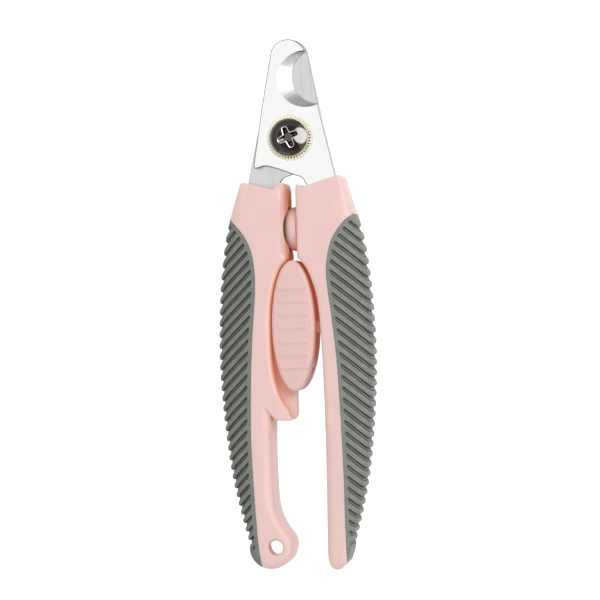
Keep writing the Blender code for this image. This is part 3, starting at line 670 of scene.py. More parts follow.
class Handle:
    """One handle's outline, rounding and nominal front surface, shared by its shells and its grip."""

    def __init__(self, side):
        self.side = side
        self.loop = densify(left_outline(0.6) if side < 0 else right_outline(0.6), 0.55)
        self.radius = smooth_loop([edge_radius(x, y) for x, y in self.loop], 14)
        self.edge = spline(LEFT_GRIP if side < 0 else RIGHT_GRIP, 0.5)
        edge = np.array(self.edge)
        order = np.argsort(edge[:, 1])
        inboard = []
        for x, y in self.loop:
            inboard.append(abs(x) < abs(np.interp(y, edge[order, 1], edge[order, 0])) if y < edge[0, 1] else True)
        self.inboard = inboard
        n = len(self.loop)
        k_out = next(k for k in range(n) if inboard[k] and not inboard[(k + 1) % n])
        k_in = next(k for k in range(n) if not inboard[k] and inboard[(k + 1) % n])
        self.out_point = self.crossing(self.loop[k_out], self.loop[(k_out + 1) % n])
        self.in_point = self.crossing(self.loop[k_in], self.loop[(k_in + 1) % n])
        walk = lambda a, b: [self.loop[k % n] for k in range(a, (b if b >= a else b + n) + 1)]
        kept = walk(k_in + 1, k_out)
        ends = (self.out_point, self.in_point)
        hi, lo = max(p[1] for p in ends), min(p[1] for p in ends)
        between = [p for p in self.edge if lo + 0.15 < p[1] < hi - 0.15]
        if self.out_point[1] < self.in_point[1]:
            between = between[::-1]
        self.inner_loop = kept + [self.out_point] + between + [self.in_point]
        outer = walk(k_out + 1, k_in)
        self.outer_run = [self.out_point, *outer, self.in_point]
        self.edge_run = [self.out_point, *between, self.in_point]
        if self.out_point[1] < self.in_point[1]:
            self.outer_run, self.edge_run = self.outer_run[::-1], self.edge_run[::-1]

    def crossing(self, a, b):
        line = np.array(self.edge)
        order = np.argsort(line[:, 1])
        f = lambda t: abs(a[0] + (b[0] - a[0]) * t) - abs(np.interp(a[1] + (b[1] - a[1]) * t, line[order, 1], line[order, 0]))
        lo, hi = 0.0, 1.0
        for _ in range(40):
            mid = (lo + hi) / 2
            if (f(mid) > 0) == (f(1.0) > 0):
                hi = mid
            else:
                lo = mid
        return (a[0] + (b[0] - a[0]) * hi, a[1] + (b[1] - a[1]) * hi)

    def height(self, points):
        """The front surface's z above each (x, y)."""
        p = np.asarray(points, float).reshape(-1, 2)
        d, seg, share = nearest(p, self.loop)
        r = self.radius[seg] * (1 - share) + np.roll(self.radius, -1)[seg] * share
        z = THICK - r + np.sqrt(np.maximum(0, r**2 - np.maximum(0, r - d) ** 2))
        if self.side < 0:
            # a long chamfer faces the other half above the recess
            t = -INNER_X - p[:, 0]
            slope = THICK - 3.1 * np.clip(1 - t / 1.85, 0, 1) ** 1.15 * smoothstep((p[:, 1] - 12.6) / 2.2) * (p[:, 0] < 0)
            z = np.minimum(z, slope)
            # the arm's rounded inner edge runs on a little under the beak, up to a soft crease
            line = spline([(-12.0, -25.2), (-9.6, -26.7), (-8.1, -28.9), (-6.4, -31.2), (-5.0, -33.0)], 0.4)
            away, seg, share = nearest(p, line, closed=False)
            a = np.array(line)
            at = a[seg] + share[:, None] * (a[np.minimum(seg + 1, len(a) - 1)] - a[seg])
            below = np.where((p[:, 0] - at[:, 0]) + (p[:, 1] - at[:, 1]) < 0, away, -away)
            R = 2.9
            arm = R - np.sqrt(np.maximum(0, R**2 - np.clip(R - (-7.25 - p[:, 0]), 0, R) ** 2))
            fade = smoothstep((-18.5 - p[:, 1]) / 8)
            near = smoothstep((below + 0.1) / 0.9) * fade * smoothstep((p[:, 1] + 37.5) / 4.0) * (p[:, 0] < -5.5)
            z = np.minimum(z, THICK - np.minimum(arm, 2.9) * near)
        return z


LEFT, RIGHT = Handle(-1), Handle(1)


def shell_body(name, handle):
    """The front shell as one closed mesh: rounded face, walls, a fine groove at the parting plane and at the grip."""
    loop = handle.inner_loop
    loops = [loop]
    points, numbers = [], []
    for one in loops:
        numbers.append(list(range(len(points), len(points) + len(one))))
        points += one
    edge_points = len(points)
    # rings of points inside the rounded edges
    rim = np.array(handle.loop)
    n_in = normals(handle.loop)
    extra = []
    for share in (0.02, 0.08, 0.19, 0.35, 0.55, 0.78, 1.0, 1.25):
        ring = rim + n_in * (handle.radius * share)[:, None]
        d, _, _ = nearest(ring, handle.loop)
        ok = d > handle.radius * share * 0.985 - 1e-6
        extra.append(ring[ok])
    if handle.side < 0:
        for r in (1.2, 1.7, 2.2, 2.7, 3.1, 3.5, 3.9):
            extra.append(np.array(arc(*HOLE_C, r, 0, 360, round(12 * r))[:-1]))
        for k in range(-6, 12):
            line = spline([(-12.0, -25.2), (-9.6, -26.7), (-8.1, -28.9), (-6.4, -31.2), (-5.0, -33.0)], 0.35)
            off = k * 0.13
            extra.append(np.array([(x - off * 0.77, y - off * 0.64) for x, y in line]))
        gx, gy = np.meshgrid(np.arange(-11.5, -6.9, 0.45), np.arange(-34.4, -27.5, 0.5))
        extra.append(np.stack([gx.ravel(), gy.ravel()], 1))
    run = np.array(handle.edge_run)
    t = np.gradient(run, axis=0)
    nn = np.stack([-t[:, 1], t[:, 0]], 1) / np.maximum(np.hypot(*t.T), 1e-9)[:, None]
    if (nn[len(nn) // 2] @ np.array([handle.side, 0])) > 0:
        nn = -nn
    for off in (0.03, 0.09, 0.18, 0.5):
        extra.append(run + nn * off)
    lo, hi = rim.min(0), rim.max(0)
    step = 1.15
    gy = np.arange(lo[1] + 0.4, hi[1], step * 0.866)
    grid = []
    for k, y in enumerate(gy):
        grid += [(x, y) for x in np.arange(lo[0] + 0.5 * step * (k % 2), hi[0], step)]
    grid = np.array(grid)
    d, seg, _ = nearest(grid, handle.loop)
    grid = grid[d > np.maximum(handle.radius[seg] * 1.25, 0.5)]
    extra.append(grid)
    extra = np.concatenate(extra)
    extra = extra[inside(extra, loops)]
    for one in loops:
        d, _, _ = nearest(extra, one)
        extra = extra[d > 0.012]
    # drop points that nearly coincide
    seen, kept = set(), []
    for x, y in extra:
        key = (round(x / 0.06), round(y / 0.06))
        if key not in seen:
            seen.add(key)
            kept.append((float(x), float(y)))
    points = points + kept
    faces = triangulate(points, numbers)
    z = handle.height(points)
    d, _, _ = nearest(points, handle.edge_run, closed=False)
    g = 0.16
    z = z - np.where(d < g, g - np.sqrt(np.maximum(0, g**2 - (g - d) ** 2)), 0)
    verts = [(x, y, float(h)) for (x, y), h in zip(points, z)]
    # walls, with the parting groove at their foot
    low1, low2 = MID + SEAM + 0.10, MID + SEAM
    made = list(faces)
    foot_loops = []
    for one, index in zip(loops, numbers):
        tight = inset(one, 0.08)
        a = len(verts)
        verts += [(x, y, low1) for x, y in one]
        b = len(verts)
        verts += [(x, y, low2) for x, y in tight]
        n = len(one)
        for k in range(n):
            j = (k + 1) % n
            made.append((index[k], a + k, a + j, index[j]))
            made.append((a + k, b + k, b + j, a + j))
        foot_loops.append((b, one))
    flat = [p for _, one in foot_loops for p in one]
    start, ids, count = foot_loops[0][0], [], 0
    foot_map = []
    for b, one in foot_loops:
        ids.append(list(range(count, count + len(one))))
        foot_map += list(range(b, b + len(one)))
        count += len(one)
    for f in triangulate(flat, ids):
        made.append(tuple(foot_map[i] for i in f[::-1]))
    return mesh_of(name, verts, made)


def at_y(curve, y):
    for (x0, y0), (x1, y1) in zip(curve, curve[1:]):
        if y0 >= y >= y1 and y0 > y1:
            return x0 + (x1 - x0) * (y0 - y) / (y0 - y1)
    return curve[-1][0]


def core_loop(boundary, side, depth):
    edge = spline(OUTER, 1.0)
    heights = [22.0 - 1.9 * k for k in range(45)]
    points = [(side * (at_y(edge, y) - depth), y) for y in heights] + [(at_y(boundary, y) - side * 2.0, y) for y in heights][::-1]
    return points if side < 0 else points[::-1]


def tang_cutter(side, z0, z1):
    left = [(3.7, 40.0), (3.7, 31.0), (4.2, 30.3), (6.9, 27.3), (7.0, 14.3), (9.0, 8.8), (9.3, -5.2), (10.8, -7.8)]
    right = [(15.7, -7.8), (16.5, -5.0), (14.5, 9.2), (13.7, 24.1), (13.0, 33.0), (11.5, 40.0)]
    points = left + right
    if side < 0:
        points = [(2 * BLADE_MIRROR_X - x, y) for x, y in points][::-1]
    return plate("tang_cutter", points, z0, z1)


def shell(name, handle, front):
    side = handle.side
    obj = shell_body(name, handle)
    boundary = spline(LEFT_GRIP if side < 0 else RIGHT_GRIP, 1.0)
    join(obj, plate("core", core_loop(boundary, side, 3.2), MID + SEAM, THICK - 2.0))
    if side < 0:
        wall = [(recess_x(y) - 1.0, y) for y in (-25.5, -21.5, -16.5, -11.5, -6.0, -1.0, 4.0, 7.5)]
        toe = [(-2.6, -31.4), (-1.75, -31.85), (-1.2, -31.75), (-0.8, -31.5), (-0.55, -31.0), (-0.5, -30.4)]
        web = toe + [(-0.5, y) for y in (-28.0, -24.0, -18.0, -6.0, 6.0, 10.2)] + [(-0.9, 10.9), (-4.3, 10.9)] + wall[::-1]
        join(obj, plate("web", densify(web, 1.5), MID + SEAM, 10.0, 0.0, 0.35, 3))
        lip = [(HOLE_R + 0.5 * (1 - math.cos(math.radians(a))) + 0.55 * (a / 90) ** 3, 13.5 + 1.5 * math.sin(math.radians(a))) for a in range(10, 91, 10)]
        hole = [(0, -1), (4.3, -1), (3.95, -0.02), (3.62, 0.12), (3.5, 0.42), (HOLE_R, 12.6), (HOLE_R, 13.5), *lip, (lip[-1][0] + 0.5, THICK + 1), (0, THICK + 1)]
        holes = [turned("hanging_hole", hole, 64, "Z", (*HOLE_C, 0))]
        slot = arc(-3.35, 3.0, 1.3, 0, 180, 16) + arc(-3.35, -19.0, 1.3, 180, 360, 16)
        cut(obj, plate("slot", slot, -1, THICK + 1))
    elif front:
        join(obj, plate("keeper", [(4.7, -8.0), (9.0, -8.0), (9.0, -5.0), (4.7, -5.0)], MID + SEAM, MID + 2.1))
    if not front:
        obj.data.transform(Matrix.Translation((0, 0, THICK * MM)) @ Matrix.Diagonal((1, 1, -1, 1)))
        obj.data.flip_normals()
    if side < 0:
        cut(obj, *holes)
        pocket = [(0, -6.7), (3.8, -6.7), (3.8, -3.2), (4.0, -3.12), (5.0, -3.02), (5.7, -2.86), (6.2, -2.6), (6.42, -2.3), (6.5, -1.9), (6.5, 0.5), (0, 0.5)]
        cut(obj, turned("pocket", pocket, 64, "X", (0, SPRING_Y, MID)))
    else:
        cut(obj, turned("pocket", [(0, -0.5), (5.05, -0.5), (5.05, 6.7), (0, 6.7)], 64, "X", (0, SPRING_Y, MID)))
    if side > 0 and front:
        cut(obj, tang_cutter(side, MID - 1, FRONT_BLADE_Z[1] + 0.08))
    if side < 0 and not front:
        cut(obj, tang_cutter(side, REAR_BLADE_Z[0] - 0.08, MID + 1))
    if not front:
        for place, (x, y) in SCREW_XY.items():
            r = 2.4 if place == "upper" else 1.75
            hole = [(0, -1), (r + 0.22, -1), (r + 0.22, -0.02), (r + 0.06, 0.14), (r, 0.3), (r, 2.9), (1.6, 2.9), (1.6, 9), (0, 9)]
            cut(obj, turned("hole", hole, 40, "Z", (side * x, y, 0)))
    body = "left_half" if side < 0 else "right_half"
    # painted shade: the faces of the dished pocket beside the spring cup are painted near-black
    if side < 0:
        values = []
        for p in obj.data.polygons:
            x, y, z = (c / MM for c in p.center)
            out = p.normal.y * (y - SPRING_Y) + p.normal.z * (z - MID)
            bowl = math.hypot(y - SPRING_Y, z - MID) < 6.6 and -3.6 < x < -1.3 and out < -0.3
            values.append(0.96 if bowl else 0.0)
        obj.data.attributes.new("shade", "FLOAT", "FACE").data.foreach_set("value", values)
    # painted warm light and shade along the recess lip, and on the chamfer between the two halves above it
    flat = np.array([(v.co.x / MM, v.co.y / MM) for v in obj.data.vertices])
    height = np.array([v.co.z / MM for v in obj.data.vertices])
    low = SLIDER_C[1] - LOCK_TRAVEL
    if side < 0:
        line = [(recess_x(y), y) for y in (low - 17.6, -27.0, -24.0, -20.0, -16.0, -11.5, -6.0, -1.0, 4.0, 7.5, 10.3, 12.0)]
    else:
        line = [(6.85, -1.0), (6.1, 3.5), (4.9, 7.4), (3.3, 10.7), (INNER_X, 13.0)]
    away, _, _ = nearest(flat, spline(line, 0.5), closed=False)
    lip = smoothstep(1 - away / (1.5 if side < 0 else 0.9)) * np.clip((np.abs(height - MID) - 2.6) / 2, 0, 1)
    painted_glow_and_shade = lip * (0.66 if side < 0 else 0.45)
    if side < 0:
        # the chamfer between the halves above the recess gets strong painted shade
        wall = smoothstep((3.25 - np.abs(flat[:, 0])) / 1.7) * ((flat[:, 1] > 12.0) & (flat[:, 1] < 33.6) & (np.abs(flat[:, 0]) < 3.3))
        painted_glow_and_shade = np.maximum(painted_glow_and_shade, 0.88 * wall)
    obj.data.attributes.new("painted_glow_and_shade", "FLOAT", "POINT").data.foreach_set("value", painted_glow_and_shade.astype(np.float32))
    return finish_piece(obj, PINK, body, [name.replace("_shell", "")], 34)


shell("left_handle_front_shell", LEFT, True)
shell("left_handle_back_shell", LEFT, False)
shell("right_handle_front_shell", RIGHT, True)
shell("right_handle_back_shell", RIGHT, False)


# ================================================================ grips
def grip(name, handle):
    """A rubber grip: rows of points along each rib, over the front, round the outer edge and along the back."""
    side = handle.side
    slope = 1.0 if side < 0 else 0.80
    first = 30.35 if side < 0 else 32.45
    outer, edge = np.array(handle.outer_run), np.array(handle.edge_run)
    c_of = lambda p: p[:, 1] + slope * np.abs(p[:, 0])
    c_outer, c_edge = c_of(outer), c_of(edge)
    c_outer, c_edge = np.minimum.accumulate(c_outer), np.minimum.accumulate(c_edge)
    top = min(c_outer[0], c_edge[0]) - 0.02
    low = max(c_outer[-1], c_edge[-1]) + 0.02
    profile = [
        (0.000, 0.04), (0.020, 0.34), (0.045, 0.88), (0.062, 1.00), (0.105, 1.00), (0.135, 0.82), (0.175, 0.62),
        (0.260, 0.57), (0.330, 0.59), (0.365, 0.68), (0.392, 0.76), (0.418, 0.66), (0.446, 0.34), (0.480, 0.12),
        (0.540, 0.03), (0.660, 0.00), (0.800, 0.00), (0.920, 0.00),
    ]
    rows = []
    k = math.floor((first - top) / RIB_PITCH) - 1
    while first - k * RIB_PITCH > low - RIB_PITCH:
        for q, depth in profile:
            c = first + 0.22 * RIB_PITCH - (k + q) * RIB_PITCH
            if low < c < top:
                rows.append((c, q, depth))
        k += 1
    rows = [(top, None, 0.0)] + [r for r in rows if low + 0.05 < r[0] < top - 0.05] + [(low, None, 0.0)]
    cs = np.array([r[0] for r in rows])
    take = lambda line, c: np.stack([np.interp(-cs, -c, line[:, 0]), np.interp(-cs, -c, line[:, 1])], 1)
    P, B = take(outer, c_outer), take(edge, c_edge)
    if side < 0:
        pass
    away = P - B
    length = np.maximum(np.linalg.norm(away, axis=1), 1e-6)
    along = away / length[:, None]
    # share of the row's length that is distance from the boundary, and from the outer edge
    te, to = np.gradient(B, axis=0), np.gradient(P, axis=0)
    te /= np.maximum(np.linalg.norm(te, axis=1), 1e-9)[:, None]
    to /= np.maximum(np.linalg.norm(to, axis=1), 1e-9)[:, None]
    cross = lambda a, b: np.abs(a[:, 0] * b[:, 1] - a[:, 1] * b[:, 0])
    k_b, k_p = np.clip(cross(along, te), 0.3, 1), np.clip(cross(along, to), 0.3, 1)
    near_d = np.array([0.0, 0.03, 0.09, 0.18, 0.5, 0.9, 1.05, 1.18, 1.31, 1.45, 1.6, 1.8, 2.2])
    d_r, seg, share = nearest(P, handle.loop)
    radius = handle.radius[seg]
    far = np.array([1 - math.cos(math.radians(a)) for a in (90, 78, 66, 54, 42, 30, 19, 9, 0)])
    middle = 9
    X = []
    for i in range(len(rows)):
        L = length[i]
        z1 = min(near_d[-1] / k_b[i], 0.45 * L)
        a = near_d * (z1 / near_d[-1])
        z3 = min(radius[i] / k_p[i], 0.45 * L)
        c = L - far * z3
        b = z1 + (L - z3 - z1) * (np.arange(1, middle + 1) / (middle + 1))
        X.append(np.concatenate([a, b, c]))
    X = np.array(X)
    n_rows, n_front = X.shape
    xy = B[:, None] + along[:, None] * X[..., None]
    z = handle.height(xy.reshape(-1, 2)).reshape(n_rows, n_front)
    z[:, -1] = THICK - radius
    d_b, _, _ = nearest(xy.reshape(-1, 2), handle.edge_run, closed=False)
    d_b = d_b.reshape(n_rows, n_front)
    d_o, _, _ = nearest(xy.reshape(-1, 2), handle.loop)
    d_o = d_o.reshape(n_rows, n_front)
    front = np.concatenate([xy, z[..., None]], 2)
    side_n = 9
    heights = np.linspace(0, 1, side_n + 2)[1:-1]
    side_pts = np.stack([
        np.concatenate([P, (THICK - radius + (2 * radius - THICK) * h)[:, None]], 1) for h in heights
    ], 1)
    back = front[:, ::-1].copy()
    back[..., 2] = THICK - back[..., 2]
    skin = np.concatenate([front, side_pts, back], 1)
    d_b_all = np.concatenate([d_b, np.full((n_rows, side_n), 9.0), d_b[:, ::-1]], 1)
    d_o_all = np.concatenate([d_o, np.zeros((n_rows, side_n)), d_o[:, ::-1]], 1)
    # surface normals
    across = np.gradient(skin, axis=1)
    down = np.gradient(skin, axis=0)
    nrm = np.cross(down, across)
    nrm /= np.maximum(np.linalg.norm(nrm, axis=2), 1e-9)[..., None]
    mid = skin[n_rows // 2, n_front + side_n // 2]
    if nrm[n_rows // 2, n_front + side_n // 2] @ np.array([side, 0, 0]) < 0:
        nrm = -nrm
    # depth of the slots
    q = np.array([0.7 if r[1] is None else r[1] for r in rows])
    depth = np.array([r[2] for r in rows])
    centre, half = 0.235, 0.26
    u = np.clip(np.abs(q - centre) / half, 0, 1)
    start = 1.02 + 0.55 * (1 - np.sqrt(1 - u**2))
    open_ = smoothstep((d_b_all - start[:, None]) / 0.28)
    fade = smoothstep((skin[..., 1] + 68.6) / 1.6) * smoothstep((top - 1.6 - cs)[:, None] / 0.8)
    edge_near = smoothstep(1 - d_o_all / 2.4)
    amount = 0.72 + 0.24 * edge_near
    D = depth[:, None] * open_ * fade * amount
    # rounded crests round the outer edge
    crest = np.array([0 if r[1] is None else (min(1.0, abs(r[1] - 0.74) / 0.26) ** 2 if r[1] > 0.48 else 1.0) for r in rows])
    D = D + 0.20 * crest[:, None] * edge_near * fade * (1 - depth[:, None]) * open_
    g = 0.14
    groove = np.where(d_b_all < g, g - np.sqrt(np.maximum(0, g**2 - (g - d_b_all) ** 2)), 0)
    pts = skin - nrm * D[..., None]
    flat_z = np.sign(skin[..., 2] - MID)
    pts[..., 2] -= flat_z * groove
    pts[..., 2] = np.clip(pts[..., 2], 0.0, THICK)
    n_skin = pts.shape[1]
    # inner side: a channel over the shells' core
    reach = np.clip((length * k_p - 3.1) / np.maximum(length * k_p, 1e-6), 0.04, 0.96)
    C = B + away * reach[:, None]
    inner = []
    for (xyp, h) in ((B, THICK - 13.1), (C, THICK - 13.1), (C, 13.1), (B, 13.1)):
        inner.append(np.concatenate([xyp, np.full((n_rows, 1), h)], 1))
    pts = np.concatenate([pts, np.stack(inner, 1)], 1)
    n_all = pts.shape[1]
    verts = pts.reshape(-1, 3)
    faces = []
    for i in range(n_rows - 1):
        for j in range(n_all):
            k = (j + 1) % n_all
            faces.append((i * n_all + j, i * n_all + k, (i + 1) * n_all + k, (i + 1) * n_all + j))
    faces.append(tuple(range(n_all))[::-1])
    faces.append(tuple((n_rows - 1) * n_all + j for j in range(n_all)))
    mesh = bpy.data.meshes.new(name)
    mesh.from_pydata((verts * MM).tolist(), [], faces)
    # painted shade for each point: both edges of a slot and its round inner end are painted darker than its floor
    values = np.zeros((n_rows, n_all), np.float32)
    # painted light: the right grip's slot floors get less painted shade than the left's
    tone = np.where((q > 0.16) & (q < 0.345), 0.36 if side > 0 else 0.52, np.where((q > 0.345) & (q < 0.43), 0.86, depth))
    end = np.exp(-(((d_b_all - start[:, None] - 0.12) / 0.17) ** 2)) * (depth >= 0.5)[:, None]
    values[:, :n_skin] = np.clip(np.maximum(tone[:, None] * open_, 0.90 * end) * fade, 0, 1)
    attribute = mesh.attributes.new("slot_painted_shade", "FLOAT", "POINT")
    attribute.data.foreach_set("value", values.ravel())
    obj = bpy.data.objects.new(name, mesh)
    bpy.context.scene.collection.objects.link(obj)
    bm = bmesh.new()
    bm.from_mesh(mesh)
    bmesh.ops.triangulate(bm, faces=[f for f in bm.faces if len(f.verts) > 4])
    bmesh.ops.recalc_face_normals(bm, faces=bm.faces)
    bm.to_mesh(mesh)
    bm.free()
    body = "left_half" if side < 0 else "right_half"
    return finish_piece(obj, RUBBER if side < 0 else RUBBER_RIGHT_PAINTED_LIGHTER, body, [name.replace("_ribbed", "")], 50)


grip("left_grip_ribbed", LEFT)
grip("right_grip_ribbed", RIGHT)


# ================================================================ blades
def blade(name, node, z, front, body, material):
    obj = plate(name, front_blade_outline(), 0, BLADE_T, 0.10, 0.20, 2)
    rings = [(-1.0, (9.3, 63.9), 7.55), (0.0, (7.9, 63.6), 7.65), (BLADE_T, (4.4, 62.8), 7.9), (BLADE_T + 1.0, (3.0, 62.5), 8.0)]
    n = 120
    bm = bmesh.new()
    loops = [[bm.verts.new((c[0] + r * math.cos(2 * math.pi * k / n), c[1] + r * math.sin(2 * math.pi * k / n), h)) for k in range(n)] for h, c, r in rings]
    for a, b in zip(loops, loops[1:]):
        for i in range(n):
            bm.faces.new((a[i], a[(i + 1) % n], b[(i + 1) % n], b[i]))
    bm.faces.new(loops[0][::-1])
    bm.faces.new(loops[-1])
    cut(obj, link("notch", bm))
    if front:
        obj.data.transform(Matrix.Translation((0, 0, z[0] * MM)))
    else:
        obj.data.transform(Matrix.Translation((2 * BLADE_MIRROR_X * MM, 0, z[1] * MM)) @ Matrix.Diagonal((-1, 1, -1, 1)))
    side = 1 if front else -1
    for (x, y), r in ((PIVOT, 2.85), ((side * SCREW_XY["upper"][0], SCREW_XY["upper"][1]), 1.9), ((side * TANG_PIN_XY[0], TANG_PIN_XY[1]), 1.9)):
        cut(obj, turned("hole", [(0, -1), (r, -1), (r, 16), (0, 16)], 40, "Z", (x, y, 0)))
    ground = obj.data.attributes.new("ground", "FLOAT", "FACE")
    sides = obj.data.attributes.new("painted_dark_side", "FLOAT", "FACE")
    values, dark_sides = [], []
    for p in obj.data.polygons:
        tilt = abs(p.normal.z)
        x = p.center.x / MM if front else 2 * BLADE_MIRROR_X - p.center.x / MM
        near = math.hypot(x - 6.15, p.center.y / MM - 63.2)
        bevel = 0.30 < tilt < 0.91 and p.center.y < 0.0712 and abs(near - 7.8) < 2.2
        values.append(1.0 if bevel else 0.0)
        # side walls, neither bevel nor flat face, get painted shade
        dark_sides.append(0.0 if bevel or tilt > 0.97 else 1.0)
    ground.data.foreach_set("value", values)
    sides.data.foreach_set("value", dark_sides)
    return finish_piece(obj, material, body, [node], 12)


blade("front_blade_ground", "front_blade", FRONT_BLADE_Z, True, "right_half", BLADE)
blade("rear_blade_ground", "rear_blade", REAR_BLADE_Z, False, "left_half", REAR)


# ================================================================ pivot
Z_WASHER = 10.45
Z_HEAD = 11.4
dome = [(0, 0.55), (2.1, 0.55), (SHAFT_R, 0.95), (SHAFT_R, Z_HEAD), (HEAD_R - 0.15, Z_HEAD), (HEAD_R, Z_HEAD + 0.15), (HEAD_R, Z_HEAD + 1.2)]
CAP_R = (HEAD_R**2 + 2.3**2) / 4.6
for k in range(1, 16):
    r = HEAD_R * math.cos(math.radians(90 * k / 16))
    dome.append((r, Z_HEAD + HEAD_H - CAP_R + math.sqrt(CAP_R**2 - r**2)))
dome.append((0, Z_HEAD + HEAD_H))
screw = turned("pivot_screw_head", dome, 96, "Z", (*PIVOT, 0))


def cross_cutter(centre, turn, top, depth, reach, width, flip=1, lip=0.0, cap=None):
    """A tapered cross recess: four narrowing arms round a cone, with an optional chamfer that follows a domed top."""
    bm = bmesh.new()
    flats = []
    for share in (1.0, 0.42):
        ring = []
        for k in range(4):
            a = math.radians(turn + 90 * k)
            w, r = width * (0.55 + 0.45 * share), reach * share
            for u, v in ((w * 1.35, -w * 1.35), (r * 0.93, -w), (r, -w * 0.6), (r, w * 0.6), (r * 0.93, w)):
                ring.append((centre[0] + u * math.cos(a) - v * math.sin(a), centre[1] + u * math.sin(a) + v * math.cos(a)))
        flats.append(ring)
    surface = cap or (lambda x, y: top)
    if lip:
        wide = inset(flats[0], -lip)
        rings = [[(x, y, top + 0.6) for x, y in wide], [(x, y, surface(x, y)) for x, y in wide], [(x, y, surface(x, y) - 0.75 * lip) for x, y in flats[0]]]
    else:
        rings = [[(x, y, top + 0.6 * flip) for x, y in flats[0]], [(x, y, top) for x, y in flats[0]]]
    rings.append([(x, y, top - depth * flip) for x, y in flats[1]])
    rings = [[bm.verts.new(p) for p in ring] for ring in rings]
    n = len(rings[0])
    for a, b in zip(rings, rings[1:]):
        for i in range(n):
            bm.faces.new((a[i], a[(i + 1) % n], b[(i + 1) % n], b[i]))
    bm.faces.new(rings[0][::-1])
    bm.faces.new(rings[-1])
    bm.normal_update()
    bmesh.ops.triangulate(bm, faces=bm.faces)
    return link("cross", bm)


def cap_z(x, y):
    r = math.hypot(x - PIVOT[0], y - PIVOT[1])
    return Z_HEAD + HEAD_H - CAP_R + math.sqrt(max(0.0, CAP_R**2 - r**2))


cut(screw, cross_cutter(PIVOT, 22, Z_HEAD + HEAD_H, 2.3, 2.9, 0.62, 1, 0.22, cap_z))
rim_highlight, painted_shade_and_dark_reflection = [], []
for p in screw.data.polygons:
    x, y, z = (c / MM for c in p.center)
    r = math.hypot(x - PIVOT[0], y - PIVOT[1])
    depth = cap_z(x, y) - z
    cross = r < 3.6 and z > 11.5 and depth > 0.035
    # painted highlight: the cross recess's upper edges are painted a pale grey
    rim_highlight.append(1.0 if cross and depth < 0.19 else 0.0)
    # the rim gets a painted dark reflection, except on the right and in a small patch at the lower left; the deep part
    # of the cross gets painted shade
    at = math.degrees(math.atan2(y - PIVOT[1], x - PIVOT[0]))
    rim = 0.62 * float(smoothstep((r - 2.9) / 0.9)) if not (abs(at) < 44 or -128 < at < -88 and r > 4.3) and z > Z_HEAD + 1.0 else 0.0
    painted_shade_and_dark_reflection.append(0.55 if cross and depth >= 0.19 else rim)
screw.data.attributes.new("painted_rim_highlight", "FLOAT", "FACE").data.foreach_set("value", rim_highlight)
screw.data.attributes.new("painted_shade_and_dark_reflection", "FLOAT", "FACE").data.foreach_set("value", painted_shade_and_dark_reflection)
finish_piece(screw, CHROME, "left_half", ["pivot_screw"], 30)

# toothed washer: a flat ring with shallow twisted teeth, and a pit at each tooth's root
bm = bmesh.new()
n = 43 * 8
loops = [[] for _ in range(9)]
for k in range(n):
    a = 2 * math.pi * k / n
    p = (k % 8) / 8
    tooth = 1.0 if p < 0.45 else (0.35 if p in (0.5, 0.875) else 0.0)
    r = 6.12 + 0.31 * tooth
    twist = 0.05 * (p - 0.22) / 0.22 * tooth
    gap = 1.0 - tooth
    for loop, (rr, zz) in zip(loops, (
        (2.8, 0), (5.6, 0), (r, 0.08 + twist), (r, 0.50 + twist), (6.02, 0.57 - 0.10 * gap), (5.72, 0.60 - 0.13 * gap),
        (5.50, 0.60 - 0.30 * gap), (5.38, 0.60), (2.8, 0.60),
    )):
        loop.append(bm.verts.new((PIVOT[0] + rr * math.cos(a), PIVOT[1] + rr * math.sin(a), Z_WASHER + zz)))
for k in range(n):
    j = (k + 1) % n
    for a, b in zip(loops, loops[1:] + loops[:1]):
        bm.faces.new((a[k], a[j], b[j], b[k]))
washer = link("toothed_washer_fine", bm)
# painted shade in the pits at the teeth's roots, strongest toward the lower right
painted_pit_shade = []
for v in washer.data.vertices:
    x, y = v.co.x / MM - PIVOT[0], v.co.y / MM - PIVOT[1]
    r, at = math.hypot(x, y), math.degrees(math.atan2(y, x))
    p = (round(at / 360 * n) % 8) / 8
    pit = p in (0.5, 0.625, 0.75, 0.875) and (abs(r - 5.50) < 0.05 or abs(r - 5.72) < 0.05 and at < 20 and at > -120)
    low = 0.22 + 0.78 * float(smoothstep((78 - abs((at + 45 + 180) % 360 - 180)) / 30))
    painted_pit_shade.append(low if pit else 0.0)
washer.data.attributes.new("painted_shade_and_dark_reflection", "FLOAT", "POINT").data.foreach_set("value", painted_pit_shade)
finish_piece(washer, BRASS, "left_half", ["toothed_washer"], 30)

ring = [(2.8, 3.95), (5.35, 3.95), (5.5, 4.1), (5.5, 4.4), (5.35, 4.55), (2.8, 4.55)]
finish_piece(turned("plain_washer_fine", ring, 72, "Z", (*PIVOT, 0)), ZINC, "left_half", ["plain_washer"], 30)

hexagon = densify([(PIVOT[0] + 8.0 / math.sqrt(3) * math.cos(math.radians(60 * k)), PIVOT[1] + 8.0 / math.sqrt(3) * math.sin(math.radians(60 * k))) for k in range(6)], 1.0)
nut = plate("pivot_nut_fine", hexagon, 0.75, 3.65)
cone = [(0, 0.75), (3.9, 0.75), (4.72, 1.3), (4.72, 3.3), (4.3, 3.65), (0, 3.65)]
boolean(nut, turned("cone", cone, 72, "Z", (*PIVOT, 0)), "INTERSECT")
cut(nut, turned("hole", [(0, -2), (3.1, -2), (3.1, 0.95), (2.65, 1.35), (2.65, 16), (0, 16)], 48, "Z", (*PIVOT, 0)))
finish_piece(nut, ZINC, "left_half", ["pivot_nut"], 25)

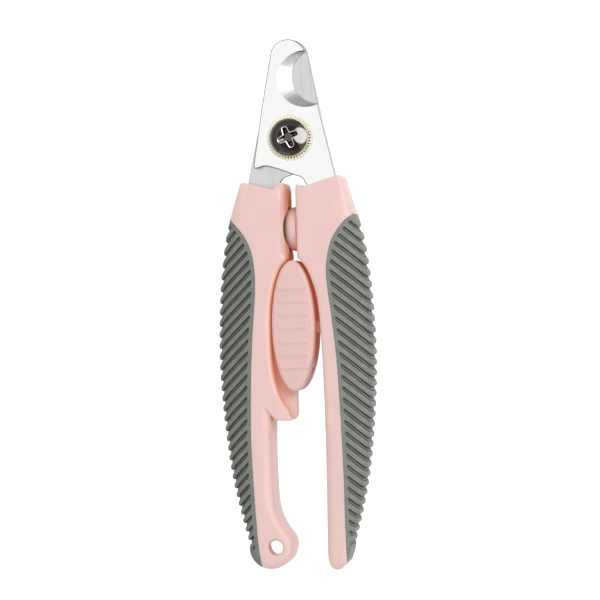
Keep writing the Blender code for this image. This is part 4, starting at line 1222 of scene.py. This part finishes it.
# ================================================================ return spring and its cup
cup = [(3.65, -2.3), (4.0, -2.27)]
for k in range(1, 13):
    a = math.radians(90 * k / 12)
    cup.append((3.9 + 2.3 * math.sin(a), -2.3 + 2.95 * (1 - math.cos(a)) ** 0.9))
cup += [(6.2, 1.05), (4.8, 1.05), (4.8, 6.4), (3.65, 6.4)]
dome = turned("spring_cup_dome", cup, 72, "X", (0, SPRING_Y, MID))
# painted shade: the cup's left end, deep in the left half's pocket, is painted dark
shade = dome.data.attributes.new("shade", "FLOAT", "POINT")
shade.data.foreach_set("value", [float(0.9 * smoothstep((-1.75 - v.co.x / MM) / 0.5)) for v in dome.data.vertices])
finish_piece(dome, CUP, "right_half", ["spring_cup"], 34)

bm = bmesh.new()
turns, per_turn, sides, wire = 7.5, 26, 9, 0.4
count = int(turns * per_turn)
loops = []
for k in range(count + 1):
    t = k / count
    a = 2 * math.pi * turns * t
    # the last coil at each end is closed up
    lead = (t * turns)
    s = min(max((lead - 0.5) / (turns - 1.0), 0), 1)
    x = -5.7 + 0.5 * min(lead, 0.5) + (11.4 - 0.5) * s + 0.5 * max(0.0, lead - (turns - 0.5))
    radial = Vector((0, math.cos(a), math.sin(a)))
    centre = Vector((x, SPRING_Y, MID)) + radial * 2.9
    loops.append([bm.verts.new(centre + wire * (math.cos(2 * math.pi * j / sides) * radial + math.sin(2 * math.pi * j / sides) * Vector((1, 0, 0)))) for j in range(sides)])
for a, b in zip(loops, loops[1:]):
    for j in range(sides):
        bm.faces.new((a[j], a[(j + 1) % sides], b[(j + 1) % sides], b[j]))
bm.faces.new(loops[0][::-1])
bm.faces.new(loops[-1])
spring = finish_piece(link("return_spring_coil", bm), WIRE, None, ["return_spring"], 40)
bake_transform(spring)


# ================================================================ handle fasteners
def small_screw(name, node, x, y, body, head_r, head_z, shaft_r, seat_z, tip_z, turn):
    profile = [(0, head_z), (head_r - 0.35, head_z), (head_r - 0.1, head_z + 0.12), (head_r, head_z + 0.4), (head_r, seat_z), (shaft_r, seat_z), (shaft_r, tip_z - 0.5), (0, tip_z)]
    obj = turned(name, profile, 40, "Z", (x, y, 0))
    cut(obj, cross_cutter((x, y), turn, head_z, 1.1, head_r * 0.62, 0.26, -1))
    return finish_piece(obj, ZINC, body, [node], 30)


for side, body, word in ((-1, "left_half", "left"), (1, "right_half", "right")):
    for k, (place, (x, y)) in enumerate(SCREW_XY.items()):
        small_screw(f"{word}_screw_{place}_head", f"{word}_screw_{place}", side * x, y, body, 2.2 if place == "upper" else 1.6, 0.9, 1.2, 2.6, 12.4, 17 + 31 * k + 11 * side)
for k, (x, y) in enumerate(LOCK_SCREWS):
    word = "upper" if k == 0 else "lower"
    small_screw(f"lock_screw_{word}_head", f"lock_screw_{word}", x, y, "slider", 1.6, 0.6, 0.95, 2.3, 12.4, 40 + 25 * k)

# ================================================================ lock slider
BARS = (4.8, 1.15, -2.5, -6.1, -10.2, -13.8, -17.3)


def button(name, node, front):
    """Half of the oval slider: a rounded, lightly crowned face with seven soft bars."""
    loop = ellipse(*SLIDER_C, SLIDER_A, SLIDER_B, 150)
    base, face, radius = 10.12, 14.9, 1.0
    rim, n_in = np.array(loop), normals(loop)
    extra = [rim + n_in * radius * s for s in (0.02, 0.08, 0.19, 0.35, 0.55, 0.78, 1.0, 1.2)]
    xs = np.concatenate([np.linspace(-4.5, -3.7, 9), np.linspace(-3.3, 3.3, 12), np.linspace(3.7, 4.5, 9)])
    ys = []
    for y in BARS:
        ys += list(y + np.linspace(-1.0, 1.0, 13))
    ys += [y for y in np.arange(-23.4, 11.6, 0.7) if min(abs(y - b) for b in BARS) > 1.25]
    gx, gy = np.meshgrid(xs + SLIDER_C[0], np.array(sorted(ys)))
    extra.append(np.stack([gx.ravel(), gy.ravel()], 1))
    gx, gy = np.meshgrid(np.arange(-6, 6, 0.7) + SLIDER_C[0], np.arange(-24, 12, 0.9))
    outer = np.stack([gx.ravel(), gy.ravel()], 1)
    outer = outer[np.abs(outer[:, 0] - SLIDER_C[0]) > 4.7]
    extra.append(outer)
    extra = np.concatenate(extra)
    d, _, _ = nearest(extra, loop)
    ok = inside(extra, [loop]) & (d > 0.01)
    extra = extra[ok]
    seen, kept = set(), []
    for x, y in extra:
        key = (round(x / 0.07), round(y / 0.07))
        if key not in seen:
            seen.add(key)
            kept.append((float(x), float(y)))
    points = loop + kept
    p = np.array(points)
    d, _, _ = nearest(p, loop)
    d[: len(loop)] = 0
    u, v = (p[:, 0] - SLIDER_C[0]) / SLIDER_A, (p[:, 1] - SLIDER_C[1]) / SLIDER_B
    z = face - radius + np.sqrt(np.maximum(0, radius**2 - np.maximum(0, radius - d) ** 2))
    z -= 0.30 * u**2 + 0.22 * v**2
    for y in BARS:
        t = np.clip(np.abs(p[:, 1] - y) / 0.86, 0, 1)
        ends = smoothstep((4.22 - np.abs(p[:, 0] - SLIDER_C[0])) / 0.42)
        z += 0.26 * np.sqrt(1 - t**2) ** 1.3 * ends - 0.02
    z = np.minimum(z, 14.95)
    faces = triangulate(points, [list(range(len(loop)))])
    verts = [(x, y, float(h)) for (x, y), h in zip(points, z)]
    made = list(faces)
    n = len(loop)
    a = len(verts)
    verts += [(x, y, base + 0.12) for x, y in loop]
    b = len(verts)
    tight = inset(loop, 0.1)
    verts += [(x, y, base) for x, y in tight]
    for k in range(n):
        j = (k + 1) % n
        made.append((k, a + k, a + j, j))
        made.append((a + k, b + k, b + j, a + j))
    for f in triangulate(tight, [list(range(n))]):
        made.append(tuple(b + i for i in f[::-1]))
    obj = mesh_of(name, verts, made)
    if not front:
        obj.data.transform(Matrix.Translation((0, 0, THICK * MM)) @ Matrix.Diagonal((1, 1, -1, 1)))
        obj.data.flip_normals()
        for x, y in LOCK_SCREWS:
            hole = [(0, -1), (1.95, -1), (1.95, 0.05), (1.8, 0.3), (1.8, 2.6), (1.2, 2.6), (1.2, 9), (0, 9)]
            cut(obj, turned("hole", hole, 36, "Z", (x, y, 0)))
    return finish_piece(obj, OVAL, "slider", [node], 34)


button("lock_button_front_oval", "lock_button_front", True)
button("lock_button_back_oval", "lock_button_back", False)

flank = sorted(
    [(x, y) for x, y in ellipse(*SLIDER_C, SLIDER_A - 0.12, SLIDER_B - 0.12, 240) if x > 0.6 and -17.9 < y < 9.4],
    key=lambda p: p[1],
)
bolt = plate("lock_bolt_fine", [(-0.2, -17.6), *flank, (-0.2, 9.2)], 5.0, 10.0, 0.1, 0.1, 1)
cut(bolt, plate("groove", [(4.2, -14.5), (9, -14.5), (9, 6.0), (4.2, 3.6)], MID - 0.2, 11.0))
finish_piece(bolt, OVAL, "slider", ["lock_bolt"], 30)

for node in ("left_tang_pin", "right_tang_pin"):
    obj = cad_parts[node]
    obj.data.materials.clear()
    obj.data.materials.append(ZINC)

# ================================================================ stage, light, camera
bm = bmesh.new()
bmesh.ops.create_grid(bm, x_segments=1, y_segments=1, size=3.0)
floor_mesh = bpy.data.meshes.new("floor")
bm.to_mesh(floor_mesh)
bm.free()
floor = bpy.data.objects.new("floor", floor_mesh)
floor.location = (0, 0, -0.00005)
bpy.context.scene.collection.objects.link(floor)
t = Tree("floor_white")
t.set(Base_Color=(0.25, 0.25, 0.25, 1), Roughness=0.9, Specular_IOR_Level=0.1)
t.set(Emission_Color=(1, 1, 1, 1))
light_path = t.node("ShaderNodeLightPath")
t.link(t.span(light_path.outputs["Is Diffuse Ray"], 1.0, 0.42), t.shader.inputs["Emission Strength"])
floor.data.materials.append(t.m)


def area(name, at, size, watts, aim=(0, 0, 0.0075), glossy=True):
    light = bpy.data.lights.new(name, "AREA")
    light.shape, light.size, light.size_y = "RECTANGLE", size[0], size[1]
    light.energy = watts
    obj = bpy.data.objects.new(name, light)
    obj.location = at
    obj.rotation_euler = (Vector(at) - Vector(aim)).to_track_quat("Z", "Y").to_euler()
    obj.visible_glossy = glossy
    bpy.context.scene.collection.objects.link(obj)
    return obj


area("key", (0.55, 0.50, 0.95), (0.55, 0.55), 5.2, glossy=False)
area("fill", (-0.7, 0.1, 1.0), (0.8, 0.8), 1.6, glossy=False)

world = bpy.data.worlds.new("studio")
bpy.context.scene.world = world
world.use_nodes = True
world.cycles.sampling_method = "NONE"
w = world.node_tree
back = w.nodes["Background"]
coords = w.nodes.new("ShaderNodeTexCoord")


def wmath(op, a, b=None):
    n = w.nodes.new("ShaderNodeMath")
    n.operation = op
    for k, value in enumerate((a, b)):
        if value is None:
            continue
        if isinstance(value, bpy.types.NodeSocket):
            w.links.new(value, n.inputs[k])
        else:
            n.inputs[k].default_value = value
    return n.outputs[0]


def lobe(direction, outer, inner):
    """1 inside a cone about that direction, 0 outside it, with a soft border between the two cosines."""
    dot = w.nodes.new("ShaderNodeVectorMath")
    dot.operation = "DOT_PRODUCT"
    w.links.new(coords.outputs["Generated"], dot.inputs[0])
    dot.inputs[1].default_value = Vector(direction).normalized()
    soft = w.nodes.new("ShaderNodeMapRange")
    soft.interpolation_type = "SMOOTHSTEP"
    soft.inputs["From Min"].default_value, soft.inputs["From Max"].default_value = outer, inner
    w.links.new(dot.outputs["Value"], soft.inputs["Value"])
    return soft.outputs["Result"]


# what polished metal sees: light walls, a dark ceiling, a soft box on the right and a small one overhead
height = w.nodes.new("ShaderNodeSeparateXYZ")
w.links.new(coords.outputs["Generated"], height.inputs[0])
rise = w.nodes.new("ShaderNodeMapRange")
rise.inputs["From Min"].default_value, rise.inputs["From Max"].default_value = 0.44, 0.62
rise.inputs["To Min"].default_value, rise.inputs["To Max"].default_value = 0.48, 0.12
w.links.new(height.outputs["Z"], rise.inputs["Value"])
room = wmath("ADD", rise.outputs["Result"], wmath("MULTIPLY", lobe((0.80, 0.14, 0.58), 0.80, 0.86), 3.6))
room = wmath("MAXIMUM", room, wmath("MULTIPLY", lobe((-0.139, 0.0, 0.99), 0.925, 0.965), 1.0))
path = w.nodes.new("ShaderNodeLightPath")
diffuse = path.outputs["Is Diffuse Ray"]
camera_ray = path.outputs["Is Camera Ray"]
other = wmath("SUBTRACT", 1.0, wmath("MAXIMUM", diffuse, camera_ray))
level = wmath("ADD", wmath("MULTIPLY", other, room), wmath("ADD", wmath("MULTIPLY", diffuse, 0.72), camera_ray))
w.links.new(level, back.inputs["Strength"])
tint = w.nodes.new("ShaderNodeMix")
tint.data_type = "RGBA"
tint.inputs[6].default_value, tint.inputs[7].default_value = (1.0, 0.995, 0.985, 1), (1.0, 0.52, 0.30, 1)
w.links.new(wmath("MULTIPLY", wmath("MULTIPLY", lobe((0.42, -0.62, 0.66), 0.84, 0.93), other), wmath("SUBTRACT", 1.0, lobe((0.80, 0.14, 0.58), 0.70, 0.80))), tint.inputs[0])
w.links.new(tint.outputs[2], back.inputs["Color"])

camera_data = bpy.data.cameras.new("camera")
camera_data.lens, camera_data.sensor_width = 171.5, 36.0
camera_data.clip_start = 0.01
camera = bpy.data.objects.new("camera", camera_data)
bpy.context.scene.collection.objects.link(camera)
target = Vector((0.88, 1.13, 7.5)) * MM
yaw = math.radians(8)
back_dir = Vector((math.sin(yaw), 0, math.cos(yaw)))
up = Vector((0.0281, 0.9996, 0))
right = up.cross(back_dir).normalized()
up = back_dir.cross(right).normalized()
turn = Matrix((right, up, back_dir)).transposed().to_4x4()
camera.matrix_world = Matrix.Translation(target + back_dir * 0.80) @ turn
bpy.context.scene.camera = camera
bpy.context.scene.view_settings.view_transform = "Standard"

bpy.context.view_layer.update()
